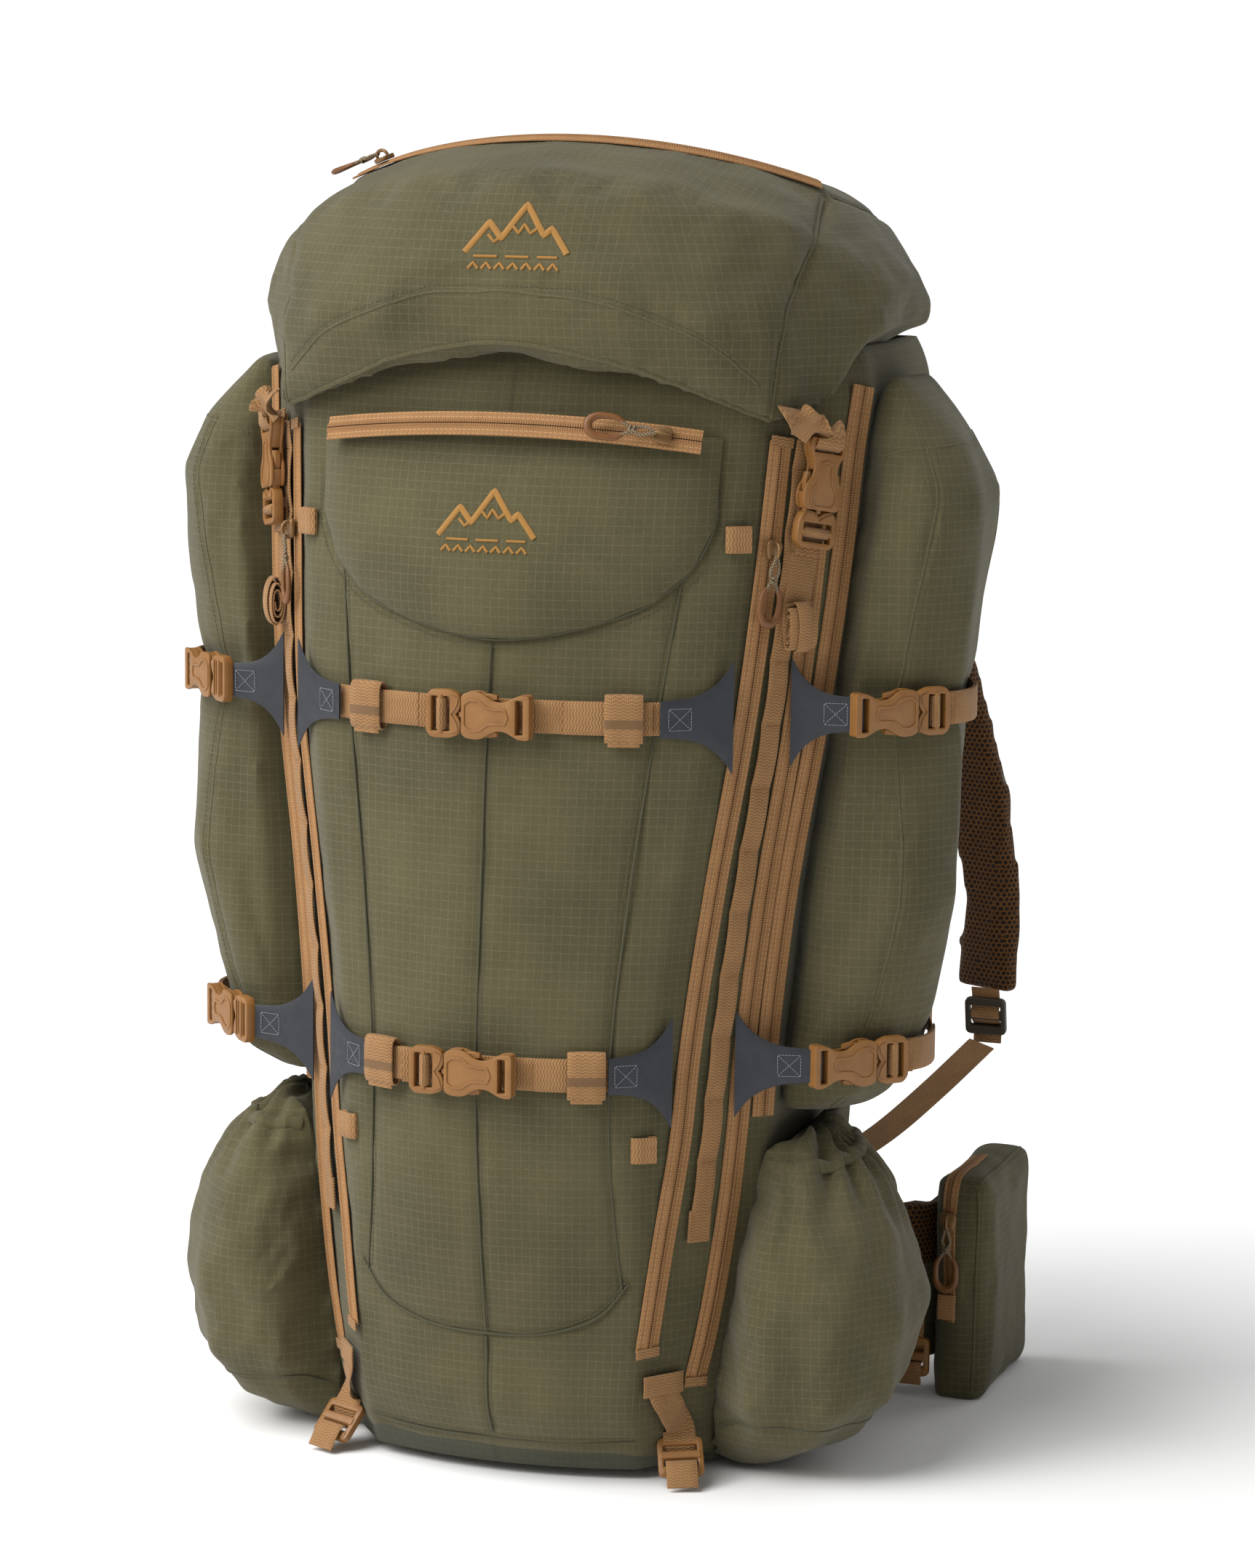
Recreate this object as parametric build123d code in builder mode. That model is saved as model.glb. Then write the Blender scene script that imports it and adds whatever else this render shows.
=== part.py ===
"""Hunting backpack: a stuffed main bag with zipped side pods, lower side pockets, lid,
compression straps, shoulder harness and hip belt.

Millimetres. X runs to the wearer's right, Y from the front of the bag to the wearer's back,
Z up. The origin is on the ground under the middle of the pack's bounding box.
"""

import math
import os

from build123d import *

os.makedirs("parts", exist_ok=True)

# ---------------------------------------------------------------- driving dimensions
WEBBING = 20.0          # width of the straps
WEBBING_T = 1.4         # thickness of a strap
ZIP_W = 16.0            # width of a closed zip's two tapes
ZIP_T = 1.6
DAISY_W = 14.0          # width of the daisy chain webbing
TAB_T = 1.2             # black anchor tabs
SKIN = 1.2              # clearance between a layer and the surface below it
BACK_Y = 57.0           # back wall of the main bag
BAG_WALL = 4.0          # fabric and foam liner of the main bag
BAG_TOP = 690.0
PANEL_T = 2.4           # front panel laminate
BASE_T = 3.0            # bottom reinforcement
UPPER_ROW = 475.0       # height of the upper compression strap
LOWER_ROW = 261.0       # height of the lower compression strap
POCKET_Z = (516, 530, 560, 600, 640)
POCKET_HALF = (30, 72, 106, 122, 126)
POCKET_DEPTH = (4, 7, 11, 13, 13)

# Side-release buckle for the webbing above
BUCKLE_L = 66.0
BUCKLE_W = 29.0
BUCKLE_T = 9.0
MALE_L = 22.5           # ladder end of the male half
PRONG_L = 23.0
CLIP_TRAVEL = 25.0      # how far a clip slides out of its socket

# Half of the bag's cross-section at each height:
# height, half width of the front, y at its corner, y at its centre, x and y of the side corner
SECTIONS = [
    (3.2, 84, -158, -164, 119, -130),
    (12, 86, -176, -188, 122, -133),
    (36, 88, -193, -211, 128, -135),
    (86, 91, -199, -219, 139, -135),
    (160, 92, -204, -229, 148, -133),
    (221, 95, -206, -234, 152, -130),
    (261, 97, -206, -234, 154, -129),
    (360, 110, -199, -227, 163, -125),
    (475, 127, -187, -219, 179, -115),
    (575, 137, -169, -205, 188, -101),
    (637, 142, -160, -187, 192, -91),
    (690, 146, -151, -176, 197, -81),
]

# Side pod outlines: height, rear inner y, then front, front outer, outer, rear outer, rear
POD = [
    (221, 25, (165, -115), (178, -98), (190, -63), (190, -18), (180, 22)),
    (238, 30, (172, -127), (200, -121), (215, -83), (212, -18), (196, 27)),
    (261, 43, (176, -131), (204, -118), (226, -85), (214, -15), (200, 29)),
    (360, 43, (184, -133), (228, -121), (246, -83), (222, -8), (205, 31)),
    (475, 43, (196, -128), (222, -112), (246, -75), (232, -7), (212, 33)),
    (575, 43, (205, -121), (238, -108), (254, -78), (246, -7), (222, 33)),
    (605, 43, (208, -115), (242, -103), (257, -75), (250, -8), (226, 32)),
    (637, 35, (208, -105), (232, -95), (246, -68), (236, -11), (218, 25)),
    (676, 0, (204, -79), (209, -73), (212, -53), (212, -23), (206, -3)),
]

# Lower side pocket outlines: height, then five points from the front round to the rear
LOW_POCKET = [
    (4, (142, -135), (152, -128), (158, -93), (152, -43), (140, -15)),
    (20, (150, -158), (182, -150), (200, -113), (180, -60), (160, -18)),
    (50, (150, -181), (200, -171), (228, -125), (214, -71), (188, -13)),
    (100, (152, -185), (205, -177), (236, -129), (239, -75), (212, -13)),
    (150, (155, -177), (198, -167), (228, -125), (222, -73), (200, -15)),
    (185, (160, -159), (188, -151), (210, -118), (203, -71), (182, -21)),
    (213, (160, -137), (166, -133), (172, -111), (172, -63), (168, -33)),
]

# Lid cross-sections in Y and Z at growing distance from the middle: lip, front, top, back, underside
LID = [
    (0, (-206, 689), (-214, 722), (-178, 786), (-96, 809), (-13, 803),
     (49, 772), (62, 704), (55, 694), (-190, 694), (-197, 688)),
    (75, (-200, 675), (-208, 712), (-167, 780), (-86, 803), (-8, 797),
     (45, 767), (59, 702), (50, 694), (-182, 694), (-190, 672)),
    (125, (-181, 655), (-190, 700), (-148, 767), (-66, 791), (2, 785),
     (42, 757), (55, 702), (45, 694), (-168, 694), (-171, 651)),
    (155, (-163, 642), (-171, 690), (-125, 758), (-48, 780), (7, 774),
     (37, 747), (49, 702), (38, 694), (-148, 694), (-153, 640)),
    (168, (-140, 655), (-152, 692), (-105, 748), (-38, 772), (9, 765),
     (33, 737), (44, 702), (34, 694), (-123, 694), (-131, 653)),
    (180, (-121, 684), (-130, 705), (-92, 742), (-32, 761), (12, 755),
     (33, 728), (42, 704), (30, 694), (-106, 694), (-112, 685)),
    (207, (-84, 696), (-86, 706), (-70, 722), (-33, 732), (-3, 728),
     (15, 715), (20, 704), (14, 696), (-70, 695), (-78, 695)),
]
LID_HINGE = (62.0, 699.0)           # y, z

# Zip arcs: middle of the arc, direction from its middle to its centre, radius
LID_ZIP_MID = Vector(0, -96, 811)
LID_ZIP_IN = Vector(0, 0.857, -0.515)
LID_ZIP_R = 243.0
POCKET_ZIP_MID = Vector(0, -202, 646)
POCKET_ZIP_IN = Vector(0, 0.92, -0.394)
POCKET_ZIP_R = 354.0
LID_SLIDER_ANGLE = -32.0            # degrees along the arc from its middle
POCKET_SLIDER_ANGLE = 15.5

# Shoulder strap centre line on the wearer's right
SHOULDER = [
    (60, 84, 640), (66, 112, 668), (78, 158, 668), (98, 200, 615), (128, 222, 535),
    (165, 228, 450), (190, 227, 370), (200, 222, 300), (199, 217, 240),
]
SHOULDER_W = 58.0
SHOULDER_T = 13.0
HARNESS_HINGE = (79.0, 638.0)       # y, z
STERNUM_Z = 365.0
HIP_HINGE = (126.0, 77.0)           # x, y
GRIP_W = 17.0
GRIP_L = 27.0
PULL_START = 6.9        # from the slider's middle to the cord loop
PULL_PIVOT = 6.5


# ---------------------------------------------------------------- geometry helpers
def section(height):
    """Interpolated row of SECTIONS at a height."""
    rows = SECTIONS
    height = min(max(height, rows[0][0]), rows[-1][0])
    for low, high in zip(rows, rows[1:]):
        if low[0] <= height <= high[0]:
            share = (height - low[0]) / (high[0] - low[0])
            return [a + share * (b - a) for a, b in zip(low, high)]


def front_point(share, height, lift=0.0):
    """Point on the front panel, share of the half width from the middle, lift mm proud."""
    _, half, corner, centre, _, _ = section(height)
    steps = [0.0, 0.5, 1.0]
    depths = [centre, centre + (corner - centre) * 0.25, corner]
    size = min(abs(share), 1.0)
    index = 0 if size <= steps[1] else 1
    part = (size - steps[index]) / 0.5
    y = depths[index] + part * (depths[index + 1] - depths[index])
    return Vector(share * half, y - lift, height)


def facet_normal(side, height):
    """Outward normal of the slanted panel that holds the long zips."""
    _, half, corner, _, side_x, side_y = section(height)
    return Vector(side * (side_y - corner), -(side_x - half), 0).normalized()


def facet_point(side, share, height, lift=0.0):
    """Point on the slanted panel, share 0 at the front corner and 1 at the side pod's zip."""
    _, half, corner, _, side_x, side_y = section(height)
    x = half + share * (side_x - half)
    y = corner + share * (side_y - corner)
    return Vector(side * x, y, height) + facet_normal(side, height) * lift


def mirrored(side, points):
    return [(side * x, y) for x, y in points]


def loft_levels(levels):
    """Ruled solid through closed outlines given as (height, points)."""
    with BuildPart() as body:
        for height, outline in levels:
            with BuildSketch(Plane.XY.offset(height)):
                with BuildLine():
                    Polyline(*outline, close=True)
                make_face()
        loft(ruled=True)
    return body.part


def strap(stations, width, thickness):
    """Flat strap through (centre of its inner face, outward normal) stations."""
    centres = [Vector(*centre) for centre, _ in stations]
    with BuildPart() as ribbon:
        for index, (centre, normal) in enumerate(stations):
            ahead = centres[min(index + 1, len(centres) - 1)]
            behind = centres[max(index - 1, 0)]
            along = (ahead - behind).normalized()
            across = Vector(*normal).cross(along).normalized()
            outward = along.cross(across)
            middle = centres[index] + outward * (thickness / 2)
            with BuildSketch(Plane(origin=middle, x_dir=across, z_dir=along)):
                Rectangle(width, thickness)
        loft(ruled=True)
    return ribbon.part


def arc_frame(mid, inward, radius, degrees):
    """Point on a zip arc, its direction of travel (+X side) and its radial direction."""
    angle = math.radians(degrees)
    outward = inward * -1
    radial = outward * math.cos(angle) + Vector(1, 0, 0) * math.sin(angle)
    travel = Vector(1, 0, 0) * math.cos(angle) - outward * math.sin(angle)
    centre = mid + inward * radius
    return centre + radial * radius, travel, radial


def save(name, solids):
    """Write one node that holds one or more separate solids."""
    with BuildPart() as node:
        for solid in solids:
            add(solid)
    node.part.label = name
    export_step(node.part, f"parts/{name}.step")
    return node.part


def save_pair(name, maker):
    """Write NAME_left and NAME_right, made for the wearer's left and right."""
    for side, word in ((-1, "left"), (1, "right")):
        save(f"{name}_{word}", [maker(side)])


# ---------------------------------------------------------------- main bag and panels
def bag_outline(row, inset, front_set_back):
    """Closed outline of the main bag at one of the SECTIONS rows."""
    _, half, corner, centre, side_x, side_y = row
    back = BACK_Y - inset
    quarter = centre + (corner - centre) * 0.25
    right = [
        (half * 0.5, quarter + inset + front_set_back),
        (half - inset * 0.7, corner + inset + front_set_back),
        (side_x - inset, side_y + inset * 0.6),
        (side_x - inset, back),
    ]
    left = [(-x, y) for x, y in reversed(right)]
    return [(0, centre + inset + front_set_back)] + right + left


def main_bag():
    set_back = PANEL_T + SKIN
    outer = loft_levels([(row[0], bag_outline(row, 0, set_back)) for row in SECTIONS])
    inner_rows = [(7.5, SECTIONS[0])] + [(row[0], row) for row in SECTIONS[1:-1]]
    inner_rows.append((BAG_TOP + 0.1, SECTIONS[-1]))
    inner = loft_levels([(z, bag_outline(row, BAG_WALL, set_back)) for z, row in inner_rows])
    with BuildPart() as bag:
        add(outer)
        add(inner, mode=Mode.SUBTRACT)
    return bag.part


def front_panel():
    """Laminated panel between the two inner long zips."""
    levels = []
    for row in SECTIONS[1:]:
        shares = (-0.985, -0.5, 0, 0.5, 0.985)
        outer = [front_point(share, row[0], 0) for share in shares]
        inner = [front_point(share, row[0], -PANEL_T) for share in reversed(shares)]
        levels.append((row[0], [(p.X, p.Y) for p in outer + inner]))
    return loft_levels(levels)


def front_pocket():
    """Stuffed pocket with a round bottom on the upper part of the front panel."""
    levels = []
    for height, half, depth in zip(POCKET_Z, POCKET_HALF, POCKET_DEPTH):
        full = section(height)[1]
        knee = full * 0.5 if half > full * 0.5 else half * 0.5
        rear_lift = {half: 1.6, knee: 3.4, 0: 1.6}
        rear = [front_point(x / full, height, rear_lift[abs(x)]) for x in (half, knee, 0, -knee, -half)]
        face = [front_point(-half * 0.97 / full, height, depth * 0.8), front_point(-knee / full, height, depth + 2.5),
                front_point(0, height, depth + 1), front_point(knee / full, height, depth + 2.5),
                front_point(half * 0.97 / full, height, depth * 0.8)]
        levels.append((height, [(p.X, p.Y) for p in face + rear]))
    return loft_levels(levels)


def base_panel():
    with BuildPart() as base:
        with BuildSketch():
            with BuildLine():
                Polyline((-84, -156), (84, -156), (118, -130), (118, 55), (-118, 55), (-118, -130), close=True)
            make_face()
        extrude(amount=BASE_T)
        fillet(base.edges().filter_by(Axis.Z), 6)
    return base.part


def side_pod(side):
    levels = []
    for height, rear_y, *outer in POD:
        _, _, _, _, wall_x, wall_y = section(height)
        outline = [(wall_x + SKIN, wall_y + 6)] + list(outer) + [(wall_x + SKIN, rear_y)]
        levels.append((height, mirrored(side, outline)))
    return loft_levels(levels)


def lower_pocket(side):
    levels = []
    for height, *outer in LOW_POCKET:
        _, _, _, _, wall_x, wall_y = section(height)
        share = 0.74 + 0.16 * height / LOW_POCKET[-1][0]
        near = facet_point(1, share, height, SKIN)
        corner = facet_point(1, 1.0, height, 2 * SKIN)
        outline = [(near.X, near.Y)] + list(outer)
        outline += [(wall_x + 2 * SKIN, -12), (wall_x + 2 * SKIN, corner.Y)]
        levels.append((height, mirrored(side, outline)))
    return loft_levels(levels)


save("main_bag", [main_bag()])
save("front_panel", [front_panel()])
save("front_pocket", [front_pocket()])
save("base_panel", [base_panel()])
save_pair("side_pod", side_pod)
save_pair("lower_pocket", lower_pocket)


# ---------------------------------------------------------------- frame and back padding
def block(x, y, z, round_edges=0.0):
    """Box from (low, high) ranges, with its upright edges rounded."""
    with BuildPart() as solid:
        with Locations(((x[0] + x[1]) / 2, (y[0] + y[1]) / 2, (z[0] + z[1]) / 2)):
            Box(x[1] - x[0], y[1] - y[0], z[1] - z[0])
        if round_edges:
            fillet(solid.edges(), round_edges)
    return solid.part


FRAME_Y = (BACK_Y + 0.6, BACK_Y + 2.6)
STAY_Y = (BACK_Y + 3.0, BACK_Y + 6.0)
save("frame_sheet", [block((-130, 130), FRAME_Y, (30, 660), 0.8)])
save("frame_stays", [block((x - 7, x + 7), STAY_Y, (30, 650), 1.0) for x in (-60, 60)])
save("back_pads", [
    block((-120, 120), (BACK_Y + 6.5, BACK_Y + 24), (22, 132), 7),
    block((-100, 100), (BACK_Y + 6.5, BACK_Y + 18), (420, 612), 5),
])


def grab_handle():
    """Webbing haul loop above the yoke: two sewn feet and a stand-off grip."""
    y = BACK_Y + 3
    path = [(-48, y), (-28, y), (-28, y + 3), (-44, y + 3), (-44, y + 14), (44, y + 14), (44, y + 3),
            (28, y + 3), (28, y), (48, y), (48, y + 17), (-48, y + 17)]
    with BuildPart() as handle:
        with BuildSketch(Plane.XY.offset(622)):
            with BuildLine():
                Polyline(*path, close=True)
            make_face()
        extrude(amount=WEBBING)
    return handle.part


save("grab_handle", [grab_handle()])


# ---------------------------------------------------------------- long zips and daisy chains
INNER_ZIP = [(86, 0.06), (160, 0.2), (221, 0.28), (261, 0.3), (360, 0.3), (475, 0.29), (575, 0.26), (637, 0.24)]
OUTER_ZIP = [(62, 0.56), (86, 0.6), (160, 0.69), (221, 0.72), (261, 0.73), (360, 0.73), (475, 0.71),
             (575, 0.67), (640, 0.64)]
POD_ZIP = [(225, 0.96), (261, 0.96), (360, 0.96), (475, 0.96), (575, 0.96), (637, 0.95), (668, 0.95)]
DAISY = [(164, 0.46), (221, 0.5), (261, 0.52), (360, 0.52), (475, 0.5), (575, 0.455), (637, 0.44)]


def facet_strap(side, line, width, thickness, lift=SKIN):
    """Strap or zip that runs up the slanted panel at the given shares of its width."""
    stations = [(facet_point(side, share, z, lift), facet_normal(side, z)) for z, share in line]
    return strap(stations, width, thickness)


zips = []
for side in (-1, 1):
    zips.append(facet_strap(side, INNER_ZIP, ZIP_W, ZIP_T))
    zips.append(facet_strap(side, OUTER_ZIP, ZIP_W, ZIP_T))
    zips.append(facet_strap(side, POD_ZIP, 9.0, ZIP_T))
save("panel_zips", zips)
save("daisy_chains", [facet_strap(side, DAISY, DAISY_W, ZIP_T) for side in (-1, 1)])


def arc_zip(mid, inward, radius, half_angle, steps, tilt):
    """Zip along an arc; tilt turns its face from radial towards the arc's axis."""
    stations = []
    axis = Vector(1, 0, 0).cross(inward)
    for index in range(steps + 1):
        degrees = -half_angle + 2 * half_angle * index / steps
        point, _, radial = arc_frame(mid, inward, radius, degrees)
        normal = radial * math.cos(tilt) + axis * math.sin(tilt)
        stations.append((point, normal))
    return strap(stations, ZIP_W - 2, ZIP_T)


LID_ZIP_TILT = math.radians(47)
POCKET_ZIP_TILT = 0.0
save("pocket_zip", [arc_zip(POCKET_ZIP_MID, POCKET_ZIP_IN, POCKET_ZIP_R, 19.5, 8, POCKET_ZIP_TILT)])


# ---------------------------------------------------------------- lid
def lid_shell():
    sections = [(-x, pts) for x, *pts in reversed(LID[1:])] + [(x, pts) for x, *pts in LID]
    with BuildPart() as lid:
        for x, outline in sections:
            with BuildSketch(Plane(origin=(x, 0, 0), x_dir=(0, 1, 0), z_dir=(1, 0, 0))):
                with BuildLine():
                    Polyline(*outline, close=True)
                make_face()
        loft(ruled=True)
    return lid.part


save("lid_shell", [lid_shell()])
save("lid_zip", [arc_zip(LID_ZIP_MID + Vector(0, -0.6, 1.6), LID_ZIP_IN, LID_ZIP_R, 38, 12, LID_ZIP_TILT)])


# ---------------------------------------------------------------- side-release buckles
def female_half(at):
    """Socket half: x runs from its mouth to its webbing slot, z out of the bag."""
    start = -BUCKLE_L / 2 + MALE_L + 0.4
    end = BUCKLE_L / 2
    with BuildPart(at) as half:
        with BuildSketch(at):
            with BuildLine():
                right = [(start, 12.5), (-4, 14.5), (4, 13.5), (10, 9.5), (17, 9.0), (24, 12.5), (end, 13.5)]
                Polyline(*right, *[(x, -y) for x, y in reversed(right)], close=True)
            make_face()
            with Locations((end - 6.5, 0)):
                Rectangle(4.2, WEBBING + 0.6, mode=Mode.SUBTRACT)
        extrude(amount=BUCKLE_T / 2, both=True)
        with BuildSketch(at):
            with Locations((start + 13.5, 0)):
                Rectangle(28, 34)
        extrude(amount=2.5, both=True, mode=Mode.SUBTRACT)
    return half.part


def male_half(at):
    """Clip half: a ladder end and two prongs that reach into the socket."""
    start = -BUCKLE_L / 2
    end = start + MALE_L
    tip = end + PRONG_L
    with BuildPart(at) as half:
        with BuildSketch(at):
            with Locations((start + MALE_L / 2, 0)):
                RectangleRounded(MALE_L, BUCKLE_W, 5)
            for slot in (start + 5.6, start + 13.2):
                with Locations((slot, 0)):
                    Rectangle(3.8, WEBBING + 0.8, mode=Mode.SUBTRACT)
        extrude(amount=3.2, both=True)
        with BuildSketch(at):
            for flip in (-1, 1):
                with BuildLine():
                    Polyline((end - 1, flip * 7.0), (end + 12, flip * 8.6), (tip, flip * 9.6),
                             (tip - 1, flip * 12.4), (end + 12, flip * 12.2), (end - 1, flip * 11.4),
                             close=True)
                make_face()
            with Locations((end + 7, 0)):
                Rectangle(16, 4)
        extrude(amount=2.0, both=True)
    return half.part


def buckle_plane(centre, towards_female, normal):
    return Plane(origin=centre, x_dir=towards_female, z_dir=normal)


ROW_LIFT = 4.6 + BUCKLE_T / 2       # buckles' mid-plane in front of the front panel
LID_BUCKLE_SHARE = 0.55             # place of the lid buckle across the slanted panel
LID_BUCKLE_Z = 606.0
CENTRE_X = {UPPER_ROW: -4.0, LOWER_ROW: -8.0}
SIDE_BUCKLE = {UPPER_ROW: (225.1, -118.5), LOWER_ROW: (206.2, -127.9)}
SIDE_TURN = math.radians(45.6)      # the side buckles lie along the pods' front corners


def centre_buckle(height):
    centre = front_point(0, height, ROW_LIFT)
    return buckle_plane(Vector(CENTRE_X[height], centre.Y, height), (1, 0, 0), (0, -1, 0))


def side_outward(side):
    return Vector(side * math.cos(SIDE_TURN), math.sin(SIDE_TURN), 0)


def side_buckle(side, height):
    """Buckle between the outer anchor tab and the strap that goes round the side pod."""
    x, y = SIDE_BUCKLE[height]
    normal = Vector(side * math.sin(SIDE_TURN), -math.cos(SIDE_TURN), 0)
    return buckle_plane(Vector(side * x, y, height), side_outward(side) * -side, normal)


def lid_buckle(side):
    """Upright buckle below the lid's corner; the socket hangs from the lid."""
    share = LID_BUCKLE_SHARE
    normal = facet_normal(side, LID_BUCKLE_Z)
    low = facet_point(side, share, LID_BUCKLE_Z - 30, 0)
    high = facet_point(side, share, LID_BUCKLE_Z + 30, 0)
    centre = facet_point(side, share, LID_BUCKLE_Z, 6.4 + BUCKLE_T / 2)
    return buckle_plane(centre, (high - low).normalized(), normal)


BUCKLES = {
    "front_upper": centre_buckle(UPPER_ROW),
    "front_lower": centre_buckle(LOWER_ROW),
    "side_upper_left": side_buckle(-1, UPPER_ROW),
    "side_upper_right": side_buckle(1, UPPER_ROW),
    "side_lower_left": side_buckle(-1, LOWER_ROW),
    "side_lower_right": side_buckle(1, LOWER_ROW),
    "lid_left": lid_buckle(-1),
    "lid_right": lid_buckle(1),
}
MOVING_SOCKETS = ("side_upper_left", "side_lower_left")     # here the outer half is the socket
fixed_halves = []
for name, plane in BUCKLES.items():
    moving, fixed = (female_half, male_half) if name in MOVING_SOCKETS else (male_half, female_half)
    save(f"buckle_half_{name}", [moving(plane)])
    if "lid" not in name:
        fixed_halves.append(fixed(plane))
save("buckle_fixed_halves", fixed_halves)
save("lid_buckle_sockets", [female_half(BUCKLES["lid_left"]), female_half(BUCKLES["lid_right"])])


# ---------------------------------------------------------------- compression straps
def level_strap(path, height):
    """Strap that runs level along (x, y) points of its inner face, with its outer face on their right."""
    points = [Vector(*point) for point in path]
    outer = []
    for index, point in enumerate(points):
        along = (points[min(index + 1, len(points) - 1)] - points[max(index - 1, 0)]).normalized()
        outer.append(point + Vector(along.Y, -along.X, 0) * WEBBING_T)
    outline = [(p.X, p.Y) for p in points + outer[::-1]]
    with BuildPart() as ribbon:
        with BuildSketch(Plane.XY.offset(height - WEBBING / 2)):
            with BuildLine():
                Polyline(*outline, close=True)
            make_face()
        extrude(amount=WEBBING)
    return ribbon.part


def front_row(height):
    """The two straps of one front row, from behind the middle buckle to the inner tabs."""
    middle = CENTRE_X[height] / section(height)[1]
    pieces = []
    for shares in ((-0.9, -0.5, middle - 0.03), (middle + 0.03, 0.5, 0.9)):
        places = [front_point(share, height, 2.0) for share in shares]
        pieces.append(level_strap([(p.X, p.Y) for p in places], height))
    return pieces


def side_strap(side, height):
    """Strap from under the side buckle back round the pod to its rear."""
    rear_y, _, front, outer, rear_outer, rear = [row[1:] for row in POD if row[0] == height][0]
    path = [Vector(*front), Vector(*outer), Vector(*rear_outer), Vector(*rear), Vector(section(height)[4] + 8, rear_y)]
    path[0] = path[0] + (path[1] - path[0]) * 0.4
    lifts = [2.6, 4.6, 4.6, 4.6, 3.0]
    places = []
    for index, point in enumerate(path):
        along = (path[min(index + 1, 4)] - path[max(index - 1, 0)]).normalized()
        place = point + Vector(along.Y, -along.X, 0) * lifts[index]
        places.append((side * place.X, place.Y))
    return level_strap(places if side > 0 else places[::-1], height)


compression = front_row(UPPER_ROW) + front_row(LOWER_ROW)
compression += [side_strap(side, height) for side in (-1, 1) for height in (UPPER_ROW, LOWER_ROW)]
save("compression_straps", compression)


def keeper(height, share):
    """Hook-and-loop wrap that holds the folded strap tail on a front row."""
    centre = front_point(share, height, 4.4)
    along = (front_point(share + 0.05, height) - front_point(share - 0.05, height)).normalized()
    plane = Plane(origin=centre, x_dir=along, z_dir=Vector(along.Y, -along.X, 0))
    with BuildPart() as wrap:
        with BuildSketch(plane):
            RectangleRounded(22, 28, 1.5)
        extrude(amount=4.2)
    return wrap.part


save("strap_keepers", [keeper(height, side * share) for height, share in ((UPPER_ROW, 0.63), (LOWER_ROW, 0.66))
                       for side in (-1, 1)])


# ---------------------------------------------------------------- anchor tabs and gear loops
def tab_between(start, end, rough_normal, outline):
    """Thin tab from start to end; outline gives (share of length, half width) steps."""
    along = (end - start).normalized()
    across = rough_normal.cross(along).normalized()
    normal = along.cross(across)
    length = (end - start).length
    edge = [(share * length, half) for share, half in outline]
    with BuildPart() as tab:
        with BuildSketch(Plane(origin=start, x_dir=along, z_dir=normal)):
            with BuildLine():
                Polyline(*edge, *[(x, -y) for x, y in reversed(edge)], close=True)
            make_face()
        extrude(amount=TAB_T)
    return tab.part


def inner_tab(side, height):
    """Triangular tab on the front panel's corner, its wide side along the inner zip."""
    narrow = front_point(side * 0.82, height, 7.0)
    wide = facet_point(side, 0.12, height, 6.0)
    return tab_between(narrow, wide, Vector(side * 0.35, -0.93, 0), [(-0.05, 12), (0.45, 15), (1, 33)])


def outer_tab(side, height):
    """Triangular tab that bridges the outer zips to the side buckle."""
    plane = side_buckle(side, height)
    start = facet_point(side, 0.64, height, 4.6)
    end = plane.origin - side_outward(side) * (BUCKLE_L / 2 + 1.5)
    return tab_between(start, end, facet_normal(side, height), [(0, 33), (0.55, 13), (1, 11)])


save("anchor_tabs", [maker(side, height) for side in (-1, 1) for height in (UPPER_ROW, LOWER_ROW)
                     for maker in (inner_tab, outer_tab)])


def gear_loop(side, height):
    """Small folded webbing loop on the edge of the front panel."""
    point = facet_point(side, 0.05, height, 3.2)
    normal = Vector(side * 0.45, -0.9, 0).normalized()
    along = Vector(side * 0.9, 0.45, 0).normalized()
    return strap([(point - along * 13, normal), (point, normal)], 16.0, 2.4)


save("gear_loops", [gear_loop(side, height) for side in (-1, 1) for height in (580, 214)])


# ---------------------------------------------------------------- lid straps and their anchors
def lid_strap(side):
    """Webbing from the lid's corner into the socket's slot."""
    plane = BUCKLES["lid_left" if side < 0 else "lid_right"]
    top = plane.origin + plane.x_dir * (BUCKLE_L / 2 - 2)
    lip = Vector(side * 161, -154, 655)
    normal = plane.z_dir
    return strap([(top + normal * (BUCKLE_T / 2 + 0.4), normal), (lip + normal * 8, normal)], WEBBING, WEBBING_T)


save("lid_straps", [lid_strap(side) for side in (-1, 1)])


def anchor_strap(side):
    """Webbing behind the lid clip, sewn to the slanted panel."""
    line = [(513, 0.55), (575, 0.55), (596, 0.55)]
    return facet_strap(side, line, WEBBING, WEBBING_T, 3.6)


def strap_roll(side):
    """Rolled tail of the lid strap, held by a hook-and-loop tie."""
    height = 527
    normal = facet_normal(side, height)
    centre = facet_point(side, 0.55, height, 5.4 + 6.0)
    plane = Plane(origin=centre, x_dir=normal.cross(Vector(0, 0, 1)), z_dir=normal)
    with BuildPart() as roll:
        with BuildSketch(plane):
            RectangleRounded(21, 30, 5)
        extrude(amount=5.6, both=True)
    return roll.part


save("lid_anchor_straps", [anchor_strap(side) for side in (-1, 1)] + [strap_roll(side) for side in (-1, 1)])


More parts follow.
